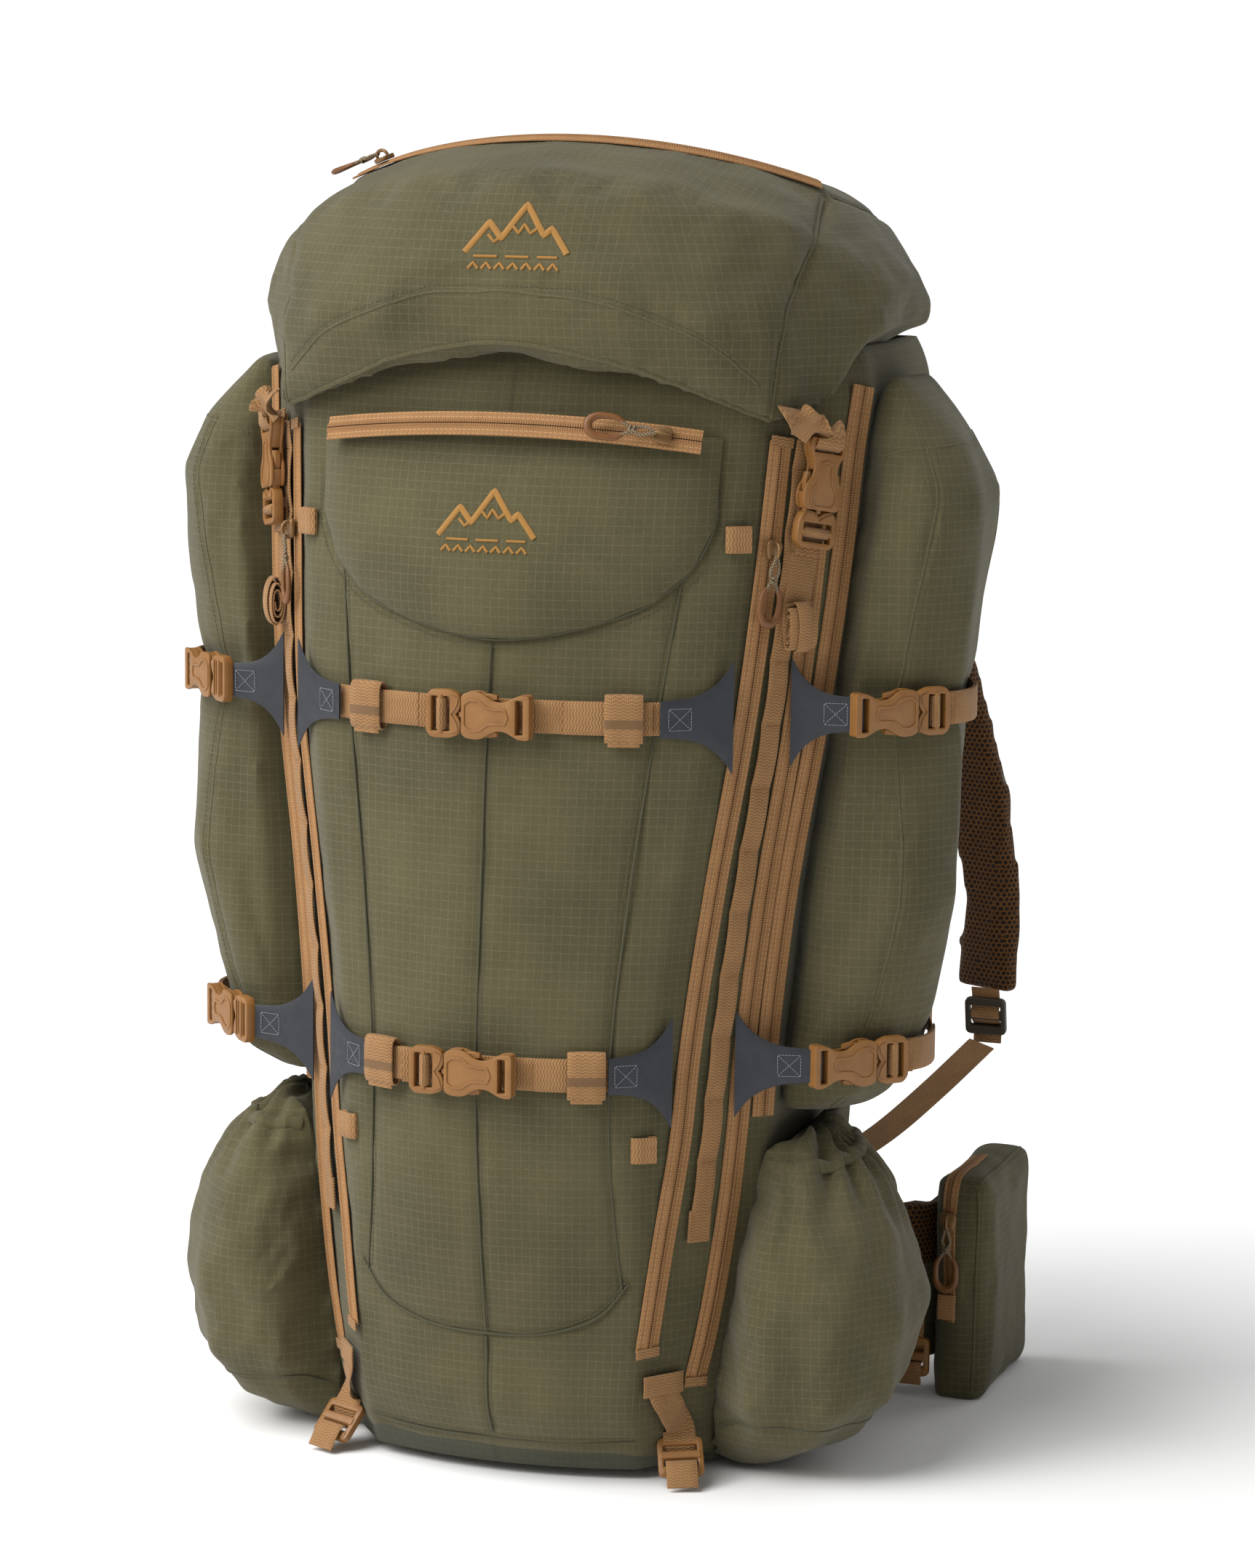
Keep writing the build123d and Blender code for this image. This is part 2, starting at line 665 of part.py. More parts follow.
# ---------------------------------------------------------------- zip sliders and pulls
def slider_body(at):
    """Slider: x along the zip towards its pull, z out of the tape."""
    with BuildPart(at) as body:
        with BuildSketch(at):
            with BuildLine():
                Polyline((-7, -4.6), (-3, -5.6), (5, -3.6), (5, 3.6), (-3, 5.6), (-7, 4.6), close=True)
            make_face()
        extrude(amount=3.2)
        with BuildSketch(at.offset(3.2)):
            with Locations((-4.2, 0), (2.8, 0)):
                Rectangle(2.2, 2.6)
        extrude(amount=3.0)
        with BuildSketch(at.offset(6.2)):
            with Locations((-0.7, 0)):
                Rectangle(9.2, 2.6)
        extrude(amount=1.2)
    return body.part


def pull_body(at):
    """Cord loop and moulded grip that hang from the slider's bridge."""
    length = 12.0 + GRIP_L
    with BuildPart(at) as body:
        with BuildSketch(at.offset(3.8)):
            with Locations((PULL_START + length / 2, 0)):
                SlotOverall(length, GRIP_W)
                SlotOverall(length - 8, GRIP_W - 8, mode=Mode.SUBTRACT)
        extrude(amount=3.0)
    return body.part


PANEL_SLIDER = (572, 0.2609, 478, 0.2891)   # slider height and share, and the end of its straight run


def facet_slider_plane(side):
    """Inner long zip's slider, pull end down."""
    z_high, share_high, z_low, share_low = PANEL_SLIDER
    high = facet_point(side, share_high, z_high)
    down = (facet_point(side, share_low, z_low) - high).normalized()
    normal = facet_normal(side, (z_high + z_low) / 2)
    normal = (normal - down * normal.dot(down)).normalized()
    return Plane(origin=high + normal * (SKIN + ZIP_T + 1.6), x_dir=down, z_dir=normal)


def arc_slider_plane(mid, inward, radius, degrees, tilt, towards):
    point, travel, radial = arc_frame(mid, inward, radius, degrees)
    axis = Vector(1, 0, 0).cross(inward)
    normal = radial * math.cos(tilt) + axis * math.sin(tilt)
    return Plane(origin=point + normal * (ZIP_T + 0.8), x_dir=travel * towards, z_dir=normal)


# ---------------------------------------------------------------- hip belt
HIP_WING = [(128, 71), (170, 71), (192, 78), (203, 97), (205, 176),
            (193, 176), (191, 104), (181, 88), (165, 83), (128, 83)]
HIP_POCKET = ((206, 242), (62, 177), (0, 148))


def hip_wing(side):
    with BuildPart() as wing:
        with BuildSketch(Plane.XY.offset(18)):
            with BuildLine():
                Polyline(*mirrored(side, HIP_WING), close=True)
            make_face()
        extrude(amount=106)
    return wing.part


def hip_pocket(side):
    x, y, z = HIP_POCKET
    with BuildPart() as pocket:
        with BuildSketch(Plane.XY.offset(z[0])):
            with Locations((side * (x[0] + x[1]) / 2, (y[0] + y[1]) / 2)):
                Rectangle(x[1] - x[0], y[1] - y[0])
        extrude(amount=z[1] - z[0])
        fillet(pocket.edges().filter_by(Axis.Z), 8)
        fillet(pocket.edges().group_by(Axis.Z)[-1], 6)
    return pocket.part


def ladder_lock(at):
    """Ladder-lock: x along its webbing, z out, with two slots round a cross bar."""
    with BuildPart(at) as lock:
        with BuildSketch(at):
            RectangleRounded(26, 28, 4)
            for slot in (-5.6, 4.4):
                with Locations((slot, 0)):
                    Rectangle(4.0, WEBBING + 0.8, mode=Mode.SUBTRACT)
        extrude(amount=2.4, both=True)
    return lock.part


def hip_adjuster(side):
    return ladder_lock(Plane(origin=(side * 190, 64, 26), x_dir=(0, 0, -1), z_dir=(0, -1, 0)))


save_pair("hip_wing", hip_wing)
save_pair("hip_pocket", hip_pocket)
save_pair("hip_adjuster", hip_adjuster)


def hip_slider_plane(side):
    """Slider on the hip pocket's front zip, pull end down."""
    return Plane(origin=(side * 216, 60.6, 118), x_dir=(0, 0, -1), z_dir=(0, -1, 0))


SLIDERS = {
    "lid": arc_slider_plane(LID_ZIP_MID + Vector(0, -0.6, 1.6), LID_ZIP_IN, LID_ZIP_R, LID_SLIDER_ANGLE,
                            LID_ZIP_TILT, -1),
    "pocket": arc_slider_plane(POCKET_ZIP_MID, POCKET_ZIP_IN, POCKET_ZIP_R, POCKET_SLIDER_ANGLE,
                               POCKET_ZIP_TILT, -1),
    "panel_left": facet_slider_plane(-1),
    "panel_right": facet_slider_plane(1),
    "hip_left": hip_slider_plane(-1),
    "hip_right": hip_slider_plane(1),
}
for name, plane in SLIDERS.items():
    save(f"zip_slider_{name}", [slider_body(plane)])
    save(f"zip_pull_{name}", [pull_body(plane)])


# ---------------------------------------------------------------- bottom corner straps
def bottom_plane(side):
    """Ladder-lock that lies at the foot of the bag's front corner."""
    down = Vector(side * 0.28, -0.62, -0.73).normalized()
    normal = Vector(side * 0.25, -0.72, 0.65)
    normal = (normal - down * normal.dot(down)).normalized()
    return Plane(origin=(side * 112, -178, 17), x_dir=down, z_dir=normal)


def bottom_strap(side):
    """Webbing from the bag's bottom corner down to its ladder-lock."""
    plane = bottom_plane(side)
    end = plane.origin - plane.x_dir * 21.0 + plane.z_dir * 6.0
    start = facet_point(side, 0.22, 58, 6.5)
    return strap([(start, facet_normal(side, 58)), (end, plane.z_dir)], WEBBING, WEBBING_T)


save("bottom_straps", [bottom_strap(side) for side in (-1, 1)])
save_pair("ladder_lock", lambda side: ladder_lock(bottom_plane(side)))


# ---------------------------------------------------------------- shoulder harness
def shoulder_strap(side):
    points = [Vector(side * x, y, z) for x, y, z in SHOULDER]
    last = len(points) - 1
    with BuildPart() as strap_body:
        for index, point in enumerate(points):
            along = (points[min(index + 1, last)] - points[max(index - 1, 0)]).normalized()
            turn = math.radians(28 * index / last)
            across = Vector(side * math.cos(turn), -math.sin(turn), 0)
            across = (across - along * across.dot(along)).normalized()
            width = SHOULDER_W * (0.8 + 0.2 * math.sin(math.pi * min(index / last * 1.25, 1)))
            with BuildSketch(Plane(origin=point, x_dir=across, z_dir=along)):
                Rectangle(width, SHOULDER_T)
        loft(ruled=True)
    return strap_body.part


save_pair("shoulder_strap", shoulder_strap)

STERNUM_Y = 245.0
STERNUM_PLANE = Plane(origin=(0, STERNUM_Y, STERNUM_Z), x_dir=(1, 0, 0), z_dir=(0, 1, 0))


def sternum_half(side):
    y = STERNUM_Y - BUCKLE_T / 2 - 2.4
    return strap([((side * 158, y, STERNUM_Z), (0, 1, 0)), ((side * 3, y, STERNUM_Z), (0, 1, 0))], WEBBING, WEBBING_T)


save("sternum_strap", [sternum_half(side) for side in (-1, 1)] + [female_half(STERNUM_PLANE)])
save("sternum_clip", [male_half(STERNUM_PLANE)])


def strap_adjuster(side):
    """Ladder-lock at the shoulder strap's lower end."""
    x, y, z = SHOULDER[-1]
    return ladder_lock(Plane(origin=(side * x, y - 2, z - 16), x_dir=(0, 0.2, -1), z_dir=(0, 1, 0.2)))


save("strap_adjusters", [strap_adjuster(side) for side in (-1, 1)])


def shoulder_webbing(side):
    """Lower webbing from the ladder-lock to the foot of the frame."""
    x, y, z = SHOULDER[-1]
    top = (side * x, y - 12, z - 34)
    low = (side * 140, BACK_Y + 8, 150)
    return strap([(top, (0, -0.6, 0.8)), (low, (0, -0.6, 0.8))], WEBBING, WEBBING_T)


save("shoulder_webbing", [shoulder_webbing(side) for side in (-1, 1)])

print("joint places, mm:", {
    "lid hinge y, z": LID_HINGE, "harness hinge y, z": HARNESS_HINGE, "hip wing hinge x, y": HIP_HINGE,
    "pull hinge from slider": PULL_PIVOT, "clip travel": CLIP_TRAVEL,
})
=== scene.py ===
import math

import bmesh
import bpy
import numpy as np
from mathutils import Matrix, Vector, noise
from mathutils.bvhtree import BVHTree


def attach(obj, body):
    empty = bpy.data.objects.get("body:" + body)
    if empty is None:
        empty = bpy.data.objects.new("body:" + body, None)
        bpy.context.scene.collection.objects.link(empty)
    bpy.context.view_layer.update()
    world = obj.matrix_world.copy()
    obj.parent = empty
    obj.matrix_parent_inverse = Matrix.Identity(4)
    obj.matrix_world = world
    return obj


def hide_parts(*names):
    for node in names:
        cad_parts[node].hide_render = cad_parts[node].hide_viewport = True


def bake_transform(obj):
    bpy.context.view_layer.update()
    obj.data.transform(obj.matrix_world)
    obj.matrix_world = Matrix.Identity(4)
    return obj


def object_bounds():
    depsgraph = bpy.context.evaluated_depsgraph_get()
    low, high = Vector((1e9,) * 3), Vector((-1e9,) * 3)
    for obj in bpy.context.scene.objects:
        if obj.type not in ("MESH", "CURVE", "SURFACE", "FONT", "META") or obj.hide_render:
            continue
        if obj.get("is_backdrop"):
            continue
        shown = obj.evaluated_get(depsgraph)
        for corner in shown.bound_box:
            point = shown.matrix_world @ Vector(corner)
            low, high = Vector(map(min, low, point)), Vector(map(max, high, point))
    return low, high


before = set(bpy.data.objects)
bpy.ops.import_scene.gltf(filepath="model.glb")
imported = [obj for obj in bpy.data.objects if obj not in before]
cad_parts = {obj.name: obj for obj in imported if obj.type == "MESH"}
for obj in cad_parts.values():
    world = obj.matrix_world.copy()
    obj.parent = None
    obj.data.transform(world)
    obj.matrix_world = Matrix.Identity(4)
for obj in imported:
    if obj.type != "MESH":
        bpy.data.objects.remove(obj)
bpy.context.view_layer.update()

# Lengths are in millimetres until a mesh is made.
MM = 0.001
WEBBING, WEBBING_T = 20.0, 1.4
BACK_Y = 57.0
UPPER_ROW, LOWER_ROW = 475.0, 261.0
BUCKLE_L, MALE_L = 66.0, 22.5
SOFT_FRAMES = 20     # frames of cloth simulation
CRISP_ANGLE = 35     # degrees above which a moulded edge stays sharp

# height, half width of the front, y at its corner, y at its centre, x and y of the side corner
SECTIONS = np.array([
    (3.2, 84, -158, -164, 119, -130), (12, 86, -176, -188, 122, -133), (36, 88, -193, -211, 128, -135),
    (86, 91, -199, -219, 139, -135), (160, 92, -204, -229, 148, -133), (221, 95, -206, -234, 152, -130),
    (261, 97, -206, -234, 154, -129), (360, 110, -199, -227, 163, -125), (475, 127, -187, -219, 179, -115),
    (575, 137, -169, -205, 188, -101), (637, 142, -160, -187, 192, -91), (690, 146, -151, -176, 197, -81)],
                    float)
# side pod: height, front outer corner, outer, rear outer, rear
POD = np.array([
    (221, 178, -98, 190, -63, 190, -18, 180, 22), (238, 200, -121, 215, -83, 212, -18, 196, 27),
    (261, 204, -118, 226, -85, 214, -15, 200, 29), (360, 228, -121, 246, -83, 222, -8, 205, 31),
    (475, 222, -112, 246, -75, 232, -7, 212, 33), (575, 238, -108, 254, -78, 246, -7, 222, 33),
    (605, 242, -103, 257, -75, 250, -8, 226, 32), (637, 232, -95, 246, -68, 236, -11, 218, 25)], float)
INNER_ZIP = [(86, 0.06), (160, 0.2), (221, 0.28), (261, 0.3), (360, 0.3), (475, 0.29), (575, 0.26),
             (637, 0.24)]
OUTER_ZIP = [(62, 0.56), (86, 0.6), (160, 0.69), (221, 0.72), (261, 0.73), (360, 0.73), (475, 0.71),
             (575, 0.67), (640, 0.64)]
POD_ZIP = [(225, 0.96), (261, 0.96), (360, 0.96), (475, 0.96), (575, 0.96), (637, 0.95), (668, 0.95)]
DAISY = [(164, 0.46), (221, 0.5), (261, 0.52), (360, 0.52), (475, 0.5), (575, 0.455), (637, 0.44)]
SHOULDER = [(60, 84, 640), (66, 112, 668), (78, 158, 668), (98, 200, 615), (128, 222, 535),
            (165, 228, 450), (190, 227, 370), (200, 222, 300), (199, 217, 240)]


# ---------------------------------------------------------------- finishes
def tone(red, green, blue):
    """Linear colour of an sRGB triple in 0-255."""
    def linear(c):
        c /= 255
        return c / 12.92 if c <= 0.04045 else ((c + 0.055) / 1.055) ** 2.4
    return (linear(red), linear(green), linear(blue), 1.0)


class Finish:
    """A node material whose pattern follows the piece's UVs, which are in millimetres."""

    def __init__(self, name, rough, metal=0.0, sheen=0.0, specular=0.5):
        self.mat = bpy.data.materials.new(name)
        self.mat.use_nodes = True
        self.tree = self.mat.node_tree
        self.shader = self.tree.nodes["Principled BSDF"]
        for socket, value in (("Roughness", rough), ("Metallic", metal), ("Sheen Weight", sheen),
                              ("Specular IOR Level", specular)):
            self.shader.inputs[socket].default_value = value
        split = self.make("ShaderNodeSeparateXYZ", {0: self.make("ShaderNodeUVMap").outputs[0]})
        self.u, self.v = split.outputs[0], split.outputs[1]
        self.place = self.make("ShaderNodeTexCoord").outputs["Object"]

    def make(self, kind, inputs=None, **settings):
        node = self.tree.nodes.new(kind)
        for key, value in settings.items():
            setattr(node, key, value)
        for key, value in (inputs or {}).items():
            if isinstance(value, bpy.types.NodeSocket):
                self.tree.links.new(value, node.inputs[key])
            else:
                node.inputs[key].default_value = value
        return node

    def calc(self, operation, a, b=0.0, c=0.0):
        return self.make("ShaderNodeMath", {0: a, 1: b, 2: c}, operation=operation).outputs[0]

    def wave(self, value, pitch):
        """0-1 sine along value."""
        turned = self.calc("SINE", self.calc("MULTIPLY", value, 2 * math.pi / pitch))
        return self.calc("MULTIPLY_ADD", turned, 0.5, 0.5)

    def lines(self, value, pitch, share):
        """1 on a thin line at every pitch, share of the pitch wide."""
        part = self.calc("ABSOLUTE", self.calc(
            "SUBTRACT", self.calc("FRACT", self.calc("DIVIDE", value, pitch)), 0.5))
        return self.calc("GREATER_THAN", part, 0.5 - share / 2)

    def band(self, value, centre, width):
        """1 where the size of value is within width/2 of centre."""
        away = self.calc("ABSOLUTE", self.calc("SUBTRACT", self.calc("ABSOLUTE", value), centre))
        return self.calc("LESS_THAN", away, width / 2)

    def cloud(self, size, detail=3.0):
        """Noise whose features are size mm."""
        return self.make("ShaderNodeTexNoise",
                         {"Vector": self.place, "Scale": 1000 / size, "Detail": detail}).outputs[0]

    def blend(self, share, a, b):
        node = self.make("ShaderNodeMix", {"Factor": share}, data_type="RGBA")
        for socket, value in ((node.inputs[6], a), (node.inputs[7], b)):
            if isinstance(value, bpy.types.NodeSocket):
                self.tree.links.new(value, socket)
            else:
                socket.default_value = value
        return node.outputs[2]

    def done(self, colour, height, bump=0.0003, strength=0.6, rough=None):
        self.tree.links.new(colour, self.shader.inputs["Base Color"])
        raised = self.make("ShaderNodeBump", {"Height": height, "Distance": bump, "Strength": strength})
        self.tree.links.new(raised.outputs[0], self.shader.inputs["Normal"])
        if rough is not None:
            self.tree.links.new(rough, self.shader.inputs["Roughness"])
        return self.mat


def cloth_finish(name, dark, light, line):
    """Ripstop: fine twill with a lighter thread every 5.5 mm both ways."""
    f = Finish(name, 0.85, sheen=0.12, specular=0.25)
    twill = f.wave(f.calc("ADD", f.u, f.v), 1.3)
    threads = f.calc("MULTIPLY", f.wave(f.u, 0.9), f.wave(f.v, 0.9))
    grid = f.calc("MAXIMUM", f.lines(f.u, 5.5, 0.09), f.lines(f.v, 5.5, 0.1))
    mottle = f.cloud(1.6, 2.0)
    share = f.calc("MULTIPLY_ADD", f.calc("SUBTRACT", f.cloud(60.0), 0.5), 0.9,
                   f.calc("MULTIPLY_ADD", twill, 0.28, f.calc("MULTIPLY_ADD", mottle, 0.5, 0.06)))
    base = f.blend(share, dark, light)
    broken = f.calc("MULTIPLY", grid, f.calc("MULTIPLY_ADD", f.cloud(3.0, 2.0), 0.7, 0.0))
    colour = f.blend(broken, base, line)
    height = f.calc("ADD", f.calc("MULTIPLY_ADD", twill, 0.45, f.calc("MULTIPLY", threads, 0.35)),
                    f.calc("MULTIPLY", grid, 0.7))
    return f.done(colour, height, 0.00035, 0.55)


def webbing_finish(name, dark, light):
    """Ribbed webbing: a tight crosswise rib with two chevron columns."""
    f = Finish(name, 0.78, sheen=0.1, specular=0.3)
    slant = f.calc("MULTIPLY_ADD", f.calc("PINGPONG", f.u, 2.5), 0.45, f.v)
    rib = f.wave(slant, 1.9)
    cords = f.wave(f.u, 1.25)
    share = f.calc("MULTIPLY_ADD", rib, 0.45, f.calc("MULTIPLY_ADD", f.cloud(14.0), 0.55,
                                                     f.calc("MULTIPLY", cords, 0.12)))
    height = f.calc("MULTIPLY_ADD", rib, 0.75, f.calc("MULTIPLY", cords, 0.3))
    return f.done(f.blend(share, dark, light), height, 0.0005, 0.8)


def zip_finish(name, dark, light, stitch, groove_shade):
    """Coil zip tape: coil in the middle, two stitch rows each side, and a dark line of painted shade down the
    middle groove.
    """
    f = Finish(name, 0.7, specular=0.35)
    coil = f.band(f.u, 0.0, 4.6)
    teeth = f.calc("MULTIPLY", coil, f.wave(f.v, 1.5))
    # painted shade: this thin middle band is coloured dark where the groove between the coil edges lies in
    # shadow
    centre = f.band(f.u, 0.0, 0.7)
    row = f.calc("MAXIMUM", f.band(f.u, 4.0, 0.6), f.band(f.u, 6.6, 0.6))
    dash = f.calc("MULTIPLY", row, f.calc("LESS_THAN", f.calc("FRACT", f.calc("DIVIDE", f.v, 3.0)), 0.66))
    weave = f.wave(f.calc("ADD", f.v, f.calc("ABSOLUTE", f.u)), 1.5)
    base = f.blend(f.calc("MULTIPLY_ADD", weave, 0.3, f.calc("MULTIPLY", f.cloud(12.0), 0.6)), dark, light)
    base = f.blend(f.calc("MULTIPLY", teeth, 0.35), base, dark)
    base = f.blend(f.calc("MULTIPLY", dash, 0.8), base, stitch)
    # painted shade: the middle groove is blended to the dark shade colour
    base = f.blend(f.calc("MULTIPLY", centre, 0.75), base, groove_shade)
    height = f.calc("ADD", f.calc("MULTIPLY_ADD", teeth, 0.8, f.calc("MULTIPLY", dash, 0.8)),
                    f.calc("MULTIPLY", weave, 0.25))
    return f.done(base, height, 0.0006, 0.9)


def moulded_finish(name, dark, light, rough, metal=0.0, grain=0.8):
    """Moulded or cast part: fine grain, slow colour drift, duller and sharper patches."""
    f = Finish(name, rough, metal=metal, specular=0.45)
    share = f.calc("MULTIPLY_ADD", f.cloud(9.0), 0.8, f.calc("MULTIPLY", f.cloud(grain, 2.0), 0.25))
    patches = f.calc("MULTIPLY_ADD", f.cloud(5.0), 0.3, rough - 0.15)
    return f.done(f.blend(share, dark, light), f.cloud(grain, 2.0), 0.0001, 0.5, patches)


def mesh_finish(name, hole_shade, cord, light):
    """Spacer mesh: rows of round holes set like a honeycomb, the holes painted dark as the shade inside them.
    """
    f = Finish(name, 0.8, specular=0.25)
    pitch, rise = 3.6, 3.6 * math.sqrt(3)
    away = []
    for shift in (0.0, 0.5):
        across = f.calc("SUBTRACT", f.calc("FRACT", f.calc("MULTIPLY_ADD", f.u, 1 / pitch, shift)), 0.5)
        up = f.calc("SUBTRACT", f.calc("FRACT", f.calc("MULTIPLY_ADD", f.v, 1 / rise, shift)), 0.5)
        across, up = f.calc("MULTIPLY", across, pitch), f.calc("MULTIPLY", up, rise)
        away.append(f.calc("SQRT", f.calc("MULTIPLY_ADD", across, across, f.calc("MULTIPLY", up, up))))
    nearest = f.calc("MINIMUM", away[0], away[1])
    solid = f.make("ShaderNodeMapRange", {0: nearest, 1: 1.0, 2: 1.6}).outputs[0]
    base = f.blend(f.calc("MULTIPLY", f.cloud(10.0), 0.8), cord, light)
    # painted shade: the holes take the dark colour that stands for the shadow inside them
    return f.done(f.blend(solid, hole_shade, base), solid, 0.0009, 1.0)


def stitch_finish(name, dark, light):
    f = Finish(name, 0.6, sheen=0.1, specular=0.4)
    twist = f.wave(f.calc("ADD", f.v, f.u), 0.8)
    return f.done(f.blend(twist, dark, light), twist, 0.0002, 0.6)


def cord_finish(name, dark, light):
    """Braided cord with pale flecks."""
    f = Finish(name, 0.75, sheen=0.1)
    braid = f.calc("MULTIPLY", f.wave(f.calc("ADD", f.v, f.u), 1.8),
                   f.wave(f.calc("SUBTRACT", f.v, f.u), 2.1))
    return f.done(f.blend(f.calc("MULTIPLY_ADD", braid, 1.1, -0.05), dark, light), braid, 0.0004, 0.9)


CLOTH = cloth_finish("ripstop_olive", tone(64, 60, 38), tone(98, 92, 63), tone(114, 107, 80))
LINER = cloth_finish("liner_olive", tone(52, 52, 36), tone(74, 73, 54), tone(88, 86, 66))
TAN = webbing_finish("webbing_tan", tone(114, 79, 45), tone(168, 127, 82))
# the zip's last colour is the painted shade in its middle groove
ZIPPER = zip_finish("coil_zip_tan", tone(130, 90, 53), tone(172, 128, 81), tone(196, 154, 106),
                    tone(66, 42, 24))
PLASTIC = moulded_finish("acetal_tan", tone(120, 79, 35), tone(150, 105, 54), 0.46)
DARK = moulded_finish("acetal_dark", tone(48, 42, 34), tone(72, 64, 50), 0.48)
METAL = moulded_finish("slider_enamel", tone(96, 70, 42), tone(150, 114, 72), 0.4, metal=0.45)
GRIP = moulded_finish("pull_rubber", tone(92, 56, 24), tone(128, 82, 40), 0.42)
LAMINATE = moulded_finish("laminate_black", tone(28, 30, 35), tone(46, 49, 56), 0.55, grain=0.5)
# the mesh's first colour is the painted shade inside its holes
MESH = mesh_finish("spacer_mesh_brown", tone(36, 22, 10), tone(92, 58, 24), tone(128, 86, 42))
POLYMER = moulded_finish("frame_polymer", tone(26, 27, 28), tone(46, 47, 48), 0.6)
ALLOY = moulded_finish("stay_alloy", tone(120, 122, 124), tone(170, 172, 176), 0.35, metal=0.9)
THREAD_OLIVE = stitch_finish("thread_olive", tone(48, 48, 28), tone(84, 82, 54))
THREAD_GREY = stitch_finish("thread_grey", tone(96, 100, 106), tone(150, 154, 160))
SATIN = stitch_finish("embroidery_bronze", tone(128, 84, 24), tone(184, 134, 56))
CORD = cord_finish("cord_flecked", tone(84, 66, 42), tone(190, 168, 132))


# ---------------------------------------------------------------- mesh helpers
def hermite(table, at):
    """Smooth rows between those of table, whose first column is the place along it."""
    table = np.asarray(table, float)
    xs, ys = table[:, 0], table[:, 1:]
    slopes = np.gradient(ys, xs, axis=0)
    at = np.clip(np.atleast_1d(np.asarray(at, float)), xs[0], xs[-1])
    i = np.clip(np.searchsorted(xs, at) - 1, 0, len(xs) - 2)
    h = (xs[i + 1] - xs[i])[:, None]
    t = ((at - xs[i])[:, None]) / h
    return ((2 * t**3 - 3 * t**2 + 1) * ys[i] + (t**3 - 2 * t**2 + t) * h * slopes[i]
            + (3 * t**2 - 2 * t**3) * ys[i + 1] + (t**3 - t**2) * h * slopes[i + 1])


def smooth_path(points, spacing=3.0):
    """Points at even spacing on a smooth line through the given ones."""
    points = np.asarray(points, float)
    lengths = np.r_[0, np.cumsum(np.linalg.norm(np.diff(points, axis=0), axis=1))]
    count = max(2, int(lengths[-1] / spacing) + 1)
    return hermite(np.c_[lengths, points], np.linspace(0, lengths[-1], count))


def unit(a):
    return a / np.maximum(np.linalg.norm(a, axis=-1, keepdims=True), 1e-9)


def band_profile(width, thick, belly=0.0):
    """Closed cross-section of a strap: (across, out) from its inner face."""
    w, b = width / 2, min(thick / 2, 0.7)
    return np.array([(0, 0), (w - b, 0), (w, thick * 0.35), (w, thick * 0.65), (w - b, thick),
                     (w * 0.5, thick + belly * 0.7),
                     (0, thick + belly), (-w * 0.5, thick + belly * 0.7), (b - w, thick), (-w, thick * 0.65),
                     (-w, thick * 0.35), (b - w, 0), (0, 0)])


ZIP_PROFILE = np.array([(0, 0), (8, 0), (8.2, 0.5), (7.6, 1.2), (5.2, 1.0), (3.4, 1.1), (2.4, 1.9),
                        (1.2, 2.2), (0.35, 1.9), (0, 1.3),
                        (-0.35, 1.9), (-1.2, 2.2), (-2.4, 1.9), (-3.4, 1.1), (-5.2, 1.0), (-7.6, 1.2),
                        (-8.2, 0.5), (-8, 0), (0, 0)], float)


def ring(radius, steps=10, squeeze=1.0):
    angles = np.linspace(0, 2 * math.pi, steps + 1)
    return np.c_[np.cos(angles) * radius, np.sin(angles) * radius * squeeze]


def rounded(points, radius, steps=4):
    out = []
    for i, p in enumerate(points):
        p, a, b = Vector(p), Vector(points[i - 1]), Vector(points[(i + 1) % len(points)])
        s = p + (a - p).normalized() * min(radius, (a - p).length * 0.45)
        e = p + (b - p).normalized() * min(radius, (b - p).length * 0.45)
        for k in range(steps + 1):
            t = k / steps
            out.append(tuple((1 - t) ** 2 * s + 2 * t * (1 - t) * p + t * t * e))
    return out


def both_sides(points):
    return list(points) + [(x, -y) for x, y in reversed(points)]


def box_outline(x0, x1, y0, y1, radius=1.0):
    return rounded([(x0, y0), (x1, y0), (x1, y1), (x0, y1)], radius)


